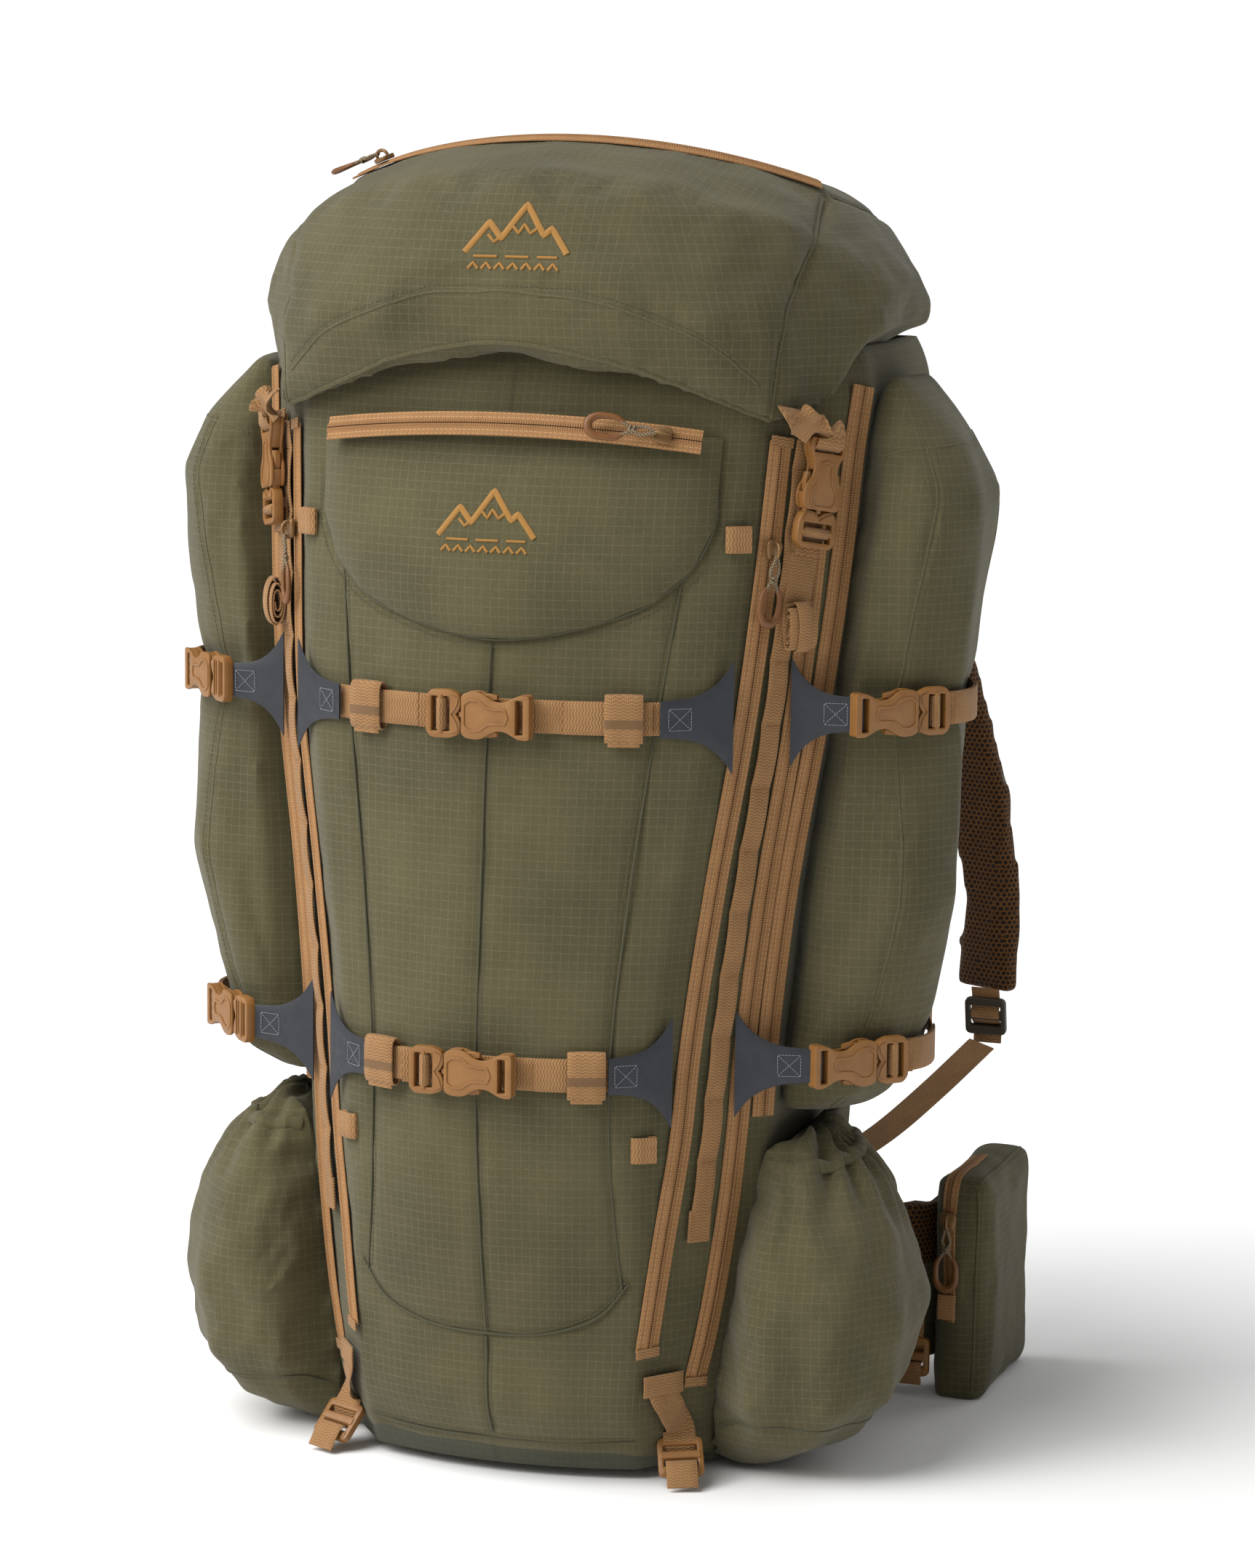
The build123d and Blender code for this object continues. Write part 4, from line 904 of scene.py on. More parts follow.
for made, (how, finish), blown in zip(started, SOFT, swelled):
    soft[how[1]] = finish_soft(made, blown, **finish)
bpy.context.scene.frame_set(1)


class Skin:
    """Nearest places on finished pieces, so that seams and trims lie on them."""

    def __init__(self, piece):
        self.tree = BVHTree.FromPolygons([v.co[:] for v in piece.data.vertices],
                                         [p.vertices[:] for p in piece.data.polygons])

    def drape(self, points, lift, spacing=3.0):
        path, out = [], []
        for p in smooth_path(points, spacing):
            place, normal, _, _ = self.tree.find_nearest(Vector(p) * MM)
            path.append(np.array(place) / MM)
            out.append(np.array(normal))
        out = np.array(out)
        for _ in range(3):
            out[1:-1] = unit(out[:-2] + 2 * out[1:-1] + out[2:])
        path = np.array(path)
        for _ in range(2):
            path[1:-1] = (path[:-2] + 2 * path[1:-1] + path[2:]) / 4
        return path + out * lift, out


# ---------------------------------------------------------------- seams and trims on the padded pieces
def pod_trims():
    for side, word in ((-1, "left"), (1, "right")):
        skin = Skin(soft[f"side_pod_{word}"])
        trim = Piece(f"side_pod_seams_{word}", "pack", "pack_cloth", CLOTH, THREAD_OLIVE)
        for column in (1, 5):
            line = [(side * row[column], row[column + 1], row[0]) for row in POD]
            path, out = skin.drape(line, -0.2)
            trim.sweep(path, out, ring(1.0, 8, 0.8), 0)
            shift = [(side * (row[column] + 3.5), row[column + 1] + 3.5, row[0]) for row in POD]
            path, out = skin.drape(shift, 0.1, 2.0)
            trim.stitches(path, out, 1, pitch=3.0, length=2.1)
        cap = mirrored(side, ((204, -104, 628), (236, -90, 633), (250, -40, 634), (228, 12, 632)))
        path, out = skin.drape(cap, -0.2)
        trim.sweep(path, out, ring(1.0, 8, 0.8), 0)
        trim.done()


pod_trims()


def lower_pocket_trims():
    for side, word in ((-1, "left"), (1, "right")):
        skin = Skin(soft[f"lower_pocket_{word}"])
        trim = Piece(f"lower_pocket_hem_{word}", "pack", "pack_cloth", CLOTH, THREAD_OLIVE)
        hem = mirrored(side, ((150, -146, 197), (182, -146, 199), (198, -112, 200), (192, -66, 200),
                              (170, -24, 199)))
        path, out = skin.drape(hem, -1.0, 2.0)
        wave = 1 + 0.22 * np.sin(np.arange(len(path)) * 1.9) * np.cos(np.arange(len(path)) * 0.7)
        trim.sweep(path, out, ring(4.6, 10, 0.55), 0, scale=wave)
        base = mirrored(side, ((120, -170, 30), (160, -178, 33), (196, -160, 36), (216, -118, 36),
                               (206, -70, 36)))
        path, out = skin.drape(base, 0.0, 2.0)
        trim.sweep(path, out, ring(0.9, 8), 1)
        trim.done()


lower_pocket_trims()


def ray_front(skin, x, z):
    """Place on a piece seen from straight in front."""
    place, normal, _, _ = skin.tree.ray_cast(Vector((x, -400, z)) * MM, Vector((0, 1, 0)))
    return (np.array(place) / MM, np.array(normal)) if place else (None, None)


def emblem(name, body, skin, centre, size):
    """Embroidered mountain peaks over a row of three dashes and a row of small chevrons, in satin stitch."""
    piece = Piece(name, body, "tan_webbing", SATIN)
    strokes = [([(-30, 0), (-17, 17), (-9, 8), (4, 27), (16, 10), (20, 14), (31, 0)], 3.6),
               ([(-17, 10), (-13, 6), (-9, 9)], 1.8), ([(-3, 15), (1, 11), (4, 16), (8, 11), (12, 14)], 1.8),
               ([(-24, -2), (-10, -2)], 1.5), ([(-5, -2), (9, -2)], 1.5), ([(14, -2), (26, -2)], 1.5)]
    for k in range(-3, 4):
        strokes.append(([(k * 8 - 3, -9), (k * 8, -5.6), (k * 8 + 3, -9)], 1.7))
    for line, wide in strokes:
        dense = []
        for a, b in zip(line, line[1:]):
            steps = max(2, int(math.dist(a, b) * size / 1.2))
            dense += [(a[0] + (b[0] - a[0]) * k / steps, a[1] + (b[1] - a[1]) * k / steps)
                      for k in range(steps)]
        dense.append(line[-1])
        path, out = [], []
        for x, z in dense:
            place, normal = ray_front(skin, centre[0] + x * size, centre[1] + z * size)
            if place is not None:
                path.append(place)
                out.append(normal)
        profile = np.array([(wide / 2, -0.2), (wide / 2, 0.35), (wide * 0.3, 0.8), (0, 0.95),
                            (-wide * 0.3, 0.8), (-wide / 2, 0.35), (-wide / 2, -0.2)])
        piece.sweep(np.array(path), unit(np.array(out).mean(0)), profile * (size, 1))
    return piece.done()


lid_skin = Skin(soft["lid_shell"])
emblem("lid_embroidery", "lid", lid_skin, (6, 747), 1.05)
emblem("pocket_embroidery", "pack", Skin(pocket), (-6, 580), 1.0)


def lid_trims():
    trim = Piece("lid_seams", "lid", "pack_cloth", CLOTH, THREAD_OLIVE)
    for side in (-1, 1):
        for line in (mirrored(side, [(157, -62, 780), *LID_FRONT_SEAM]), mirrored(side, LID_SIDE_SEAM)):
            path, out = lid_skin.drape(line, 0.0)
            trim.sweep(path, out, ring(1.2, 8, 0.8), 0)
            path, out = lid_skin.drape([(x - side * 4, y - 1, z) for x, y, z in line], 0.1, 2.0)
            trim.stitches(path, out, 1, pitch=3.0, length=2.1)
    path, out = lid_skin.drape(LID_ARCH, -0.1)
    trim.sweep(path, out, ring(1.0, 8, 0.8), 0)
    path, out = lid_skin.drape([(x, y, z + 4) for x, y, z in LID_ARCH], 0.1, 2.0)
    trim.stitches(path, out, 1, pitch=3.0, length=2.1)
    lip = [(-155, -163, 645), (-125, -181, 657), (-75, -200, 677), (0, -206, 691), (75, -200, 677),
           (125, -181, 657), (155, -163, 645)]
    path, out = lid_skin.drape(lip, 0.0)
    trim.sweep(path, out, ring(1.6, 8), 0)
    trim.done()


lid_trims()


def lid_gusset():
    """Cloth that joins the lid's rear edge to the top of the bag's back."""
    x = np.linspace(-166, 166, 90)
    rise = np.linspace(0, 1, 14)
    back_of_lid = 62.0 - 16.0 * np.clip((np.abs(x) - 110) / 56, 0, 1) ** 1.5
    y = 54.6 + (back_of_lid[None] - 54.6) * rise[:, None] + np.sin(rise * math.pi)[:, None] * 2.6
    z = 668 + rise[:, None] * 38.0 + 0 * x[None]
    y = y + np.sin(x * 0.21)[None] * 0.5 * np.sin(rise * math.pi)[:, None]
    outer = np.dstack([np.broadcast_to(x, y.shape), y, z]).reshape(-1, 3)
    inner = outer - (0, 1.2, 0)
    rows, cols, n = 14, 90, 14 * 90
    faces = [(r * cols + c, (r + 1) * cols + c, (r + 1) * cols + c + 1, r * cols + c + 1)
             for r in range(rows - 1) for c in range(cols - 1)]
    edge = grid_rim(rows, cols)
    faces += ([tuple(n + i for i in reversed(f)) for f in faces]
              + [(a, b, n + b, n + a) for a, b in zip(edge, edge[1:] + edge[:1])])
    piece = Piece("lid_gusset", None, "pack_cloth", CLOTH)
    piece.add(np.vstack([outer, inner]), faces, np.vstack([outer[:, [0, 2]]] * 2))
    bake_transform(piece.done(angle=75))


lid_gusset()


# ---------------------------------------------------------------- zips and daisy chains
def zips():
    piece = Piece("panel_zip_tapes", "pack", "zip_tape", ZIPPER, TAN)
    for side in (-1, 1):
        beside = [(z, share - 0.045) for z, share in POD_ZIP]
        for line in (INNER_ZIP, OUTER_ZIP, beside):
            path, out = facet_line(side, line, 1.0)
            piece.sweep(path, out, ZIP_PROFILE)
        for line in (INNER_ZIP, OUTER_ZIP):
            for z, share in (line[0], line[-1]):
                p = facet_point(side, share, [z - 3, z, z + 3], 2.6)
                piece.sweep(p, facet_normal(side, z), band_profile(17, 1.0), 1)
    piece.done("panel_zips", angle=60)
    piece = Piece("pocket_zip_tape", "pack", "zip_tape", ZIPPER)
    path, out = arc_points(*POCKET_ARC, 19.5, 0.0)
    piece.sweep(path, out, ZIP_PROFILE * (0.92, 1))
    piece.done("pocket_zip", angle=60)
    piece = Piece("lid_zip_tape", "lid", "zip_tape", ZIPPER)
    path, out = arc_points(*LID_ARC, 38, LID_ZIP_TILT)
    piece.sweep(path, out, ZIP_PROFILE * (0.92, 1))
    piece.done("lid_zip", angle=60)


zips()


def daisy_chains():
    piece = Piece("daisy_chain_webbing", "pack", "tan_webbing", TAN, THREAD_OLIVE)
    for side in (-1, 1):
        path, out = facet_line(side, DAISY, 1.4, 2.0)
        z = path[:, 2]
        phase = (z - 164) / 38.0
        bulge = np.abs(np.sin(np.pi * phase)) ** 0.7 * 1.8
        piece.sweep(path + out * bulge[:, None], out, band_profile(14, 1.5))
        for k in range(0, 13):
            low = 164 + 38 * k
            if low > 640:
                break
            share = float(hermite(DAISY, low)[0, 0])
            for shift in (-1.2, 1.2):
                p = facet_point(side, share, [low + shift - 0.1, low + shift + 0.1], 3.1)[0]
                n = facet_normal(side, low)[0]
                across = unit(np.cross(n, [0, 0, 1.0]))
                piece.stitches([p - across * 6, p + across * 6], n, 0, pitch=1.5, length=1.3, half=0.7,
                               high=0.7)
        end = facet_point(side, 0.46, [172, 166, 158, 152], 2.0)
        piece.sweep(end, facet_normal(side, 164), band_profile(16, 2.2))
    piece.done("daisy_chains")


daisy_chains()


# ---------------------------------------------------------------- side-release buckles
def front_place(height):
    p = front_point(0, height, 9.1)[0]
    x = {UPPER_ROW: -4.0, LOWER_ROW: -8.0}[height]
    return place_at((x, p[1], height), (1, 0, 0), (0, -1, 0))


SIDE_TURN = math.radians(45.6)


def side_place(side, height):
    x, y = {UPPER_ROW: (225.1, -118.5), LOWER_ROW: (206.2, -127.9)}[height]
    outward = Vector((side * math.cos(SIDE_TURN), math.sin(SIDE_TURN), 0))
    return place_at((side * x, y, height), outward * -side,
                    (side * math.sin(SIDE_TURN), -math.cos(SIDE_TURN), 0))


def lid_place(side):
    low, high = facet_point(side, 0.55, [576, 636], 0)
    centre = facet_point(side, 0.55, 606, 10.9)[0]
    return place_at(centre, high - low, facet_normal(side, 606)[0])


BUCKLES = {
    "front_upper": front_place(UPPER_ROW), "front_lower": front_place(LOWER_ROW),
    "side_upper_left": side_place(-1, UPPER_ROW), "side_upper_right": side_place(1, UPPER_ROW),
    "side_lower_left": side_place(-1, LOWER_ROW), "side_lower_right": side_place(1, LOWER_ROW),
    "lid_left": lid_place(-1), "lid_right": lid_place(1)}
FLIPPED = ("side_upper_left", "side_lower_left")
START = -BUCKLE_L / 2 + MALE_L + 0.4


def socket_half(piece, place):
    """Two shells with side walls; the waist leaves the clip's release tabs bare."""
    outline = rounded(both_sides([(START, 11.6), (-7, 13.8), (-1, 14.5), (4, 13.4), (9, 9.8), (13, 8.7),
                                  (18, 9.0), (23, 11.8), (27, 13.4), (33, 13.3)]), 2.2)
    slot = box_outline(24.2, 28.8, -10.3, 10.3, 0.8)
    for low, high in ((2.4, 4.5), (-4.5, -2.4)):
        piece.solid([outline, slot], low, high, place, 0.7)
    tail = rounded(both_sides([(13.5, 8.5), (18, 8.8), (23, 11.5), (27, 13), (32.6, 12.9)]), 1.5)
    piece.solid([tail, slot], -2.6, 2.6, place, 0.1)
    for flip in (-1, 1):
        piece.solid([rounded([(START + 0.4, flip * 9.9), (0, flip * 12.2), (0, flip * 14.0),
                              (START + 0.4, flip * 11.4)], 0.6)], -2.6, 2.6, place, 0.1)
    crest = rounded(both_sides([(-9, 7.5), (-4, 10.2), (2, 9.6), (7, 5.6), (12, 4.8), (18, 5.4), (20, 0.01)]),
                    1.4)
    inner = rounded(both_sides([(-7.6, 6.2), (-4, 8.6), (1, 8.2), (6, 4.4), (12, 3.4), (16.8, 3.8),
                                (18.4, 0.01)]), 1.2)
    piece.solid([crest, inner], 4.4, 5.1, place, 0.25)


def clip_half(piece, place):
    """Ladder end, two sprung arms and the middle guide."""
    x0 = -BUCKLE_L / 2
    x1 = x0 + MALE_L
    outline = rounded(both_sides([(x0, 10.5), (x0 + 3.5, 14.5), (x0 + 15, 14.6), (x1 - 1.5, 12.2), (x1, 8),
                                  (x1 - 0.5, 3.5), (x1 - 3.2, 0.01)]), 2.0)
    slots = [box_outline(x0 + c - 1.9, x0 + c + 1.9, -10.4, 10.4, 0.8) for c in (5.6, 13.2)]
    piece.solid([outline, *slots], -3.2, 3.2, place, 0.9)
    piece.solid([box_outline(x0 + 8.1, x0 + 10.7, -11.6, 11.6, 0.8)], 2.6, 4.0, place, 0.5)
    ridge = rounded(both_sides([(x0 + 16.6, 11.5), (x1 - 1.8, 9.6), (x1 - 3.0, 5.0), (x1 - 6.4, 0.01)]), 1.2)
    piece.solid([ridge], 3.0, 3.9, place, 0.35)
    for flip in (-1, 1):
        line = [(x1 - 2, flip * 8.6, 0), (x1 + 5, flip * 9.3, 0), (x1 + 12, flip * 10.3, 0),
                (x1 + 18, flip * 10.9, 0), (x1 + 22.4, flip * 11.0, 0)]
        path = local(place, smooth_path(line, 1.6))
        wide = np.interp(np.linspace(0, 1, len(path)), [0, 0.5, 0.8, 1], [1.0, 1.0, 1.35, 0.8])
        piece.sweep(path, turn(place, (0, 0, 1)), np.array([(1.3, -2), (1.7, -1.4), (1.7, 1.4), (1.3, 2),
                                                            (-1.3, 2), (-1.7, 1.4), (-1.7, -1.4), (-1.3, -2),
                                                            (1.3, -2)]),
                    scale=np.c_[wide, np.ones(len(path))])
    piece.solid([box_outline(x1 - 2, x1 + 15, -1.9, 1.9, 1.2)], -1.8, 1.8, place, 0.5)


def ladder_loop(piece, place, x_bar, reach, way, drop=6.0, material=0):
    """Webbing that comes in under a bar, wraps over it and goes back out."""
    out = way * reach
    path = [(x_bar + out, 0, -drop), (x_bar + way * 8, 0, -drop + 1.2), (x_bar + way * 3.6, 0, -1.6),
            (x_bar + way * 2.6, 0, 2.4), (x_bar, 0, 4.4),
            (x_bar - way * 2.8, 0, 2.2), (x_bar - way * 3.0, 0, -1.6), (x_bar - way * 0.4, 0, -4.4),
            (x_bar + way * 5, 0, -4.8), (x_bar + out, 0, -drop + 1.5)]
    path = smooth_path(path, 1.2)
    ahead = unit(np.gradient(path, axis=0))
    normals = np.cross(ahead, [0, way, 0])
    piece.sweep(local(place, path), normals @ np.array(place.to_3x3()).T, band_profile(19.2, 1.1), material)


fixed = Piece("fixed_buckle_halves", "pack", "buckle_plastic", PLASTIC, TAN)
for name, place in BUCKLES.items():
    flipped = name in FLIPPED
    moving = Piece(f"clip_{name}", f"release_{name}", "buckle_plastic", PLASTIC, TAN)
    (socket_half if flipped else clip_half)(moving, place)
    if "lid" not in name:
        if flipped:
            ladder_loop(moving, place, 31.0, 9, 1, 5.6, 1)
            clip_half(fixed, place)
        else:
            ladder_loop(moving, place, -BUCKLE_L / 2 + 9.4, 16, -1, 5.6, 1)
            socket_half(fixed, place)
    else:
        ladder_loop(moving, place, -BUCKLE_L / 2 + 9.4, 14, -1, 5.2, 1)
    moving.done(f"buckle_half_{name}", angle=CRISP_ANGLE)
fixed.done("buckle_fixed_halves", angle=CRISP_ANGLE)

sockets = Piece("lid_sockets", "lid", "buckle_plastic", PLASTIC)
straps = Piece("lid_strap_webbing", "lid", "tan_webbing", TAN)
anchors = Piece("lid_anchor_webbing", "pack", "tan_webbing", TAN)
for side in (-1, 1):
    place = BUCKLES["lid_left" if side < 0 else "lid_right"]
    socket_half(sockets, place)
    normal = np.array(turn(place, (0, 0, 1)))
    top = local(place, [(31, 0, 0)])[0]
    lip = np.array([side * 161, -154, 655]) + normal * 7
    up = turn(place, (1, 0, 0))
    path = smooth_path([lip + up * 2 - normal * 3, lip - normal * 0.5, (top + lip) / 2 + normal * 3.0,
                        top + up * 3.0 + normal * 5.2, top - up * 1.5 + normal * 4.9,
                        top - up * 4.4 + normal * 1.5, top - up * 4.7 - normal * 4.0], 1.5)
    ahead = unit(np.gradient(path, axis=0))
    straps.sweep(path, np.cross(ahead, turn(place, (0, -1, 0))), band_profile(WEBBING, WEBBING_T))
    path, out = facet_line(side, [(513, 0.55), (545, 0.55), (575, 0.55), (598, 0.55)], 3.6)
    anchors.sweep(path, out, band_profile(WEBBING, WEBBING_T))
    normal = facet_normal(side, 527)[0]
    middle = facet_point(side, 0.55, 527, 11.0)[0]
    angles = np.linspace(0, 5.4 * math.pi, 70)
    coil = np.c_[0 * angles, np.sin(angles) * (1.6 + 0.26 * angles), np.cos(angles) * (1.0 + 0.19 * angles)]
    roll_place = place_at(middle, np.cross(normal, [0, 0, 1.0]), normal)
    world = local(roll_place, coil * (1, 2.4, 1))
    ahead = unit(np.gradient(world, axis=0))
    anchors.sweep(world, np.cross(turn(roll_place, (1, 0, 0)), ahead), band_profile(WEBBING, 1.2))
    tie = np.array([(0, math.cos(a) * 15.2, math.sin(a) * 6.2) for a in np.linspace(0, 2 * math.pi, 40,
                                                                                    endpoint=False)])
    tie = local(roll_place, tie)
    ahead = unit(np.roll(tie, -1, 0) - np.roll(tie, 1, 0))
    anchors.sweep(tie, np.cross(ahead, turn(roll_place, (-1, 0, 0))), band_profile(10, 1.0), closed=True)
sockets.done("lid_buckle_sockets", angle=CRISP_ANGLE)
straps.done("lid_straps")
anchors.done("lid_anchor_straps")


# ---------------------------------------------------------------- compression straps
def level_normals(path):
    ahead = np.gradient(path, axis=0)
    return unit(np.c_[ahead[:, 1], -ahead[:, 0], 0 * ahead[:, 0]])


def compression():
    piece = Piece("compression_webbing", "pack", "tan_webbing", TAN, THREAD_OLIVE)
    wraps = Piece("strap_keeper_wraps", "pack", "tan_webbing", TAN)
    for height, middle, keep in ((UPPER_ROW, -4.0, 0.63), (LOWER_ROW, -8.0, 0.66)):
        half = float(section(height)[0][0])
        for low, high in ((-0.93, (middle - 3) / half), ((middle + 3) / half, 0.93)):
            shares = np.linspace(low, high, 60)
            path = front_point(shares, height, 2.2)
            piece.sweep(path, level_normals(path), band_profile(WEBBING, WEBBING_T))
        for side in (-1, 1):
            shares = np.linspace(side * 0.36, side * (keep + 0.13), 40)
            shares = shares if side > 0 else shares[::-1]
            lifts = 4.0 + 0.9 * np.sin(np.linspace(0, math.pi, 40))
            path = front_point(shares, height, lifts)
            piece.sweep(path, level_normals(path), band_profile(WEBBING, 1.2))
            base = front_point(side * keep, height, 1.6)[0]
            along = unit(front_point(side * keep + 0.05, height) - front_point(side * keep - 0.05, height))[0]
            out = np.array([along[1], -along[0], 0])
            angles = np.linspace(0, 2 * math.pi, 44, endpoint=False)
            loop = [(np.sign(math.sin(a)) * abs(math.sin(a)) ** 0.45 * 13.4,
                     3.3 + np.sign(math.cos(a)) * abs(math.cos(a)) ** 0.6 * 3.3) for a in angles]
            loop = np.array([base + np.array([0, 0, w]) + out * n for w, n in loop])
            ahead = unit(np.roll(loop, -1, 0) - np.roll(loop, 1, 0))
            wraps.sweep(
                loop, np.cross(along, ahead)
                * np.sign((np.cross(along, ahead)[0] * (loop[0] - loop.mean(0))).sum()),
                band_profile(23, 1.2, 0.4), closed=True)
            tab = smooth_path([base + out * 5 + (0, 0, z) - out * abs(z + 10) * 0.1 for z in (-10, -13,
                                                                                              -16.5)], 1.5)
            wraps.sweep(tab, out, band_profile(19, 1.6))
    for side in (-1, 1):
        for height in (UPPER_ROW, LOWER_ROW):
            row = POD[POD[:, 0] == height][0]
            corners = np.array([(row[1], row[2]), (row[3], row[4]), (row[5], row[6]), (row[7], row[8]),
                                (section(height)[3][0] + 8, 43)])
            corners[0] += (corners[1] - corners[0]) * 0.25
            ahead = unit(np.gradient(corners, axis=0))
            placed = corners + np.c_[ahead[:, 1], -ahead[:, 0]] * np.array([3.2, 5.0, 4.6, 4.6, 3.0])[:, None]
            flat = smooth_path(placed, 3.0)
            path = np.c_[side * flat[:, 0], flat[:, 1], np.full(len(flat), height)]
            path = path if side > 0 else path[::-1]
            piece.sweep(path, level_normals(path), band_profile(WEBBING, WEBBING_T))
            tail = path[:26] if side > 0 else path[-26:]
            piece.sweep(tail[6:] if side > 0 else tail[:-6],
                        level_normals(tail)[6:] if side > 0 else level_normals(tail)[:-6],
                        band_profile(WEBBING, 1.3) + (0, 1.5))
    piece.done("compression_straps")
    wraps.done("strap_keepers", angle=60)


compression()


def tabs():
    """Black anchor tabs with curved sides and a boxed cross of thread."""
    piece = Piece("anchor_tab_laminate", "pack", "black_laminate", LAMINATE, THREAD_GREY)
    for side in (-1, 1):
        for height in (UPPER_ROW, LOWER_ROW):
            place = side_place(side, height)
            outward = np.array([side * math.cos(SIDE_TURN), math.sin(SIDE_TURN), 0])
            buckle_end = np.array(place.translation) - outward * (BUCKLE_L / 2 + 1.5 - 9)
            cases = ((facet_point(side, 0.64, height, 4.6)[0], buckle_end, facet_normal(side, height)[0],
                      [(0, 33), (0.14, 23), (0.3, 16.5), (0.5, 12.4), (0.7, 11), (1, 10.4)], 0.62),
                     (front_point(side * 0.80, height, 7.0)[0], facet_point(side, 0.14, height, 5.6)[0],
                      unit(np.array([side * 0.35, -0.93, 0])),
                      [(0, 11), (0.3, 12), (0.5, 14), (0.7, 18.5), (0.86, 25), (1, 34)], 0.26))
            for start, end, rough, widths, mark in cases:
                share = np.linspace(0, 1, 26)
                path = start + (end - start) * share[:, None]
                along = unit(end - start)
                across = unit(np.cross(rough, along))
                normal = np.cross(along, across)
                wide = hermite(widths, share)[:, 0] / 10
                bow = np.sin(share * math.pi) * 0.8
                piece.sweep(path + normal * bow[:, None], normal, band_profile(20, 1.2),
                            scale=np.c_[wide, np.ones(26)])
                length = np.linalg.norm(end - start)
                c = start + along * length * mark + normal * 2.35
                a, b = along * 7.0, across * 6.5
                for line in ([c - a - b, c + a - b], [c + a - b, c + a + b], [c + a + b, c - a + b],
                             [c - a + b, c - a - b], [c - a - b, c + a + b], [c - a + b, c + a - b]):
                    piece.stitches(line, normal, 1, pitch=1.9, length=1.4, half=0.22, high=0.22)
    piece.done("anchor_tabs", angle=50)


tabs()


def loops():
    piece = Piece("gear_loop_webbing", "pack", "tan_webbing", TAN)
    for side in (-1, 1):
        for height in (580, 214):
            root = facet_point(side, 0.08, height, 2.4)[0]
            normal, along = unit(np.array([side * 0.45, -0.9, 0])), unit(np.array([side * 0.9, 0.45, 0]))
            path = [root, root - along * 7 + normal * 0.6, root - along * 13.5 + normal * 1.4,
                    root - along * 15 + normal * 2.6, root - along * 13 + normal * 3.8,
                    root - along * 6 + normal * 3.4, root + normal * 2.4]
            path = smooth_path(path, 1.2)
            ahead = unit(np.gradient(path, axis=0))
            piece.sweep(path, np.cross([0, 0, 1.0], ahead) * -side, band_profile(16, 1.1))
    piece.done("gear_loops")


loops()


# ---------------------------------------------------------------- zip sliders and pulls
def facet_slider(side):
    high = facet_point(side, 0.2609, 572)[0]
    low = facet_point(side, 0.2891, 478)[0]
    down = unit(low - high)
    normal = facet_normal(side, 525)[0]
    normal = unit(normal - down * normal.dot(down))
    return place_at(high + normal * 4.4, down, normal)


def arc_slider(mid, inward, radius, degrees, tilt, towards):
    mid, inward = np.array(mid, float), unit(np.array(inward, float))
    a = math.radians(degrees)
    radial = -inward * math.cos(a) + np.array([1.0, 0, 0]) * math.sin(a)
    travel = np.array([1.0, 0, 0]) * math.cos(a) + inward * math.sin(a)
    normal = radial * math.cos(tilt) + np.cross([1.0, 0, 0], inward) * math.sin(tilt)
    return place_at(mid + inward * radius + radial * radius + normal * 2.4, travel * towards, normal)


SLIDERS = {
    "lid": arc_slider(*LID_ARC, -32, LID_ZIP_TILT, -1),
    "pocket": arc_slider(*POCKET_ARC, 15.5, 0.0, -1),
    "panel_left": facet_slider(-1), "panel_right": facet_slider(1),
    "hip_left": place_at((-216, 60.6, 118), (0, 0, -1), (0, -1, 0)),
    "hip_right": place_at((216, 60.6, 118), (0, 0, -1), (0, -1, 0))}


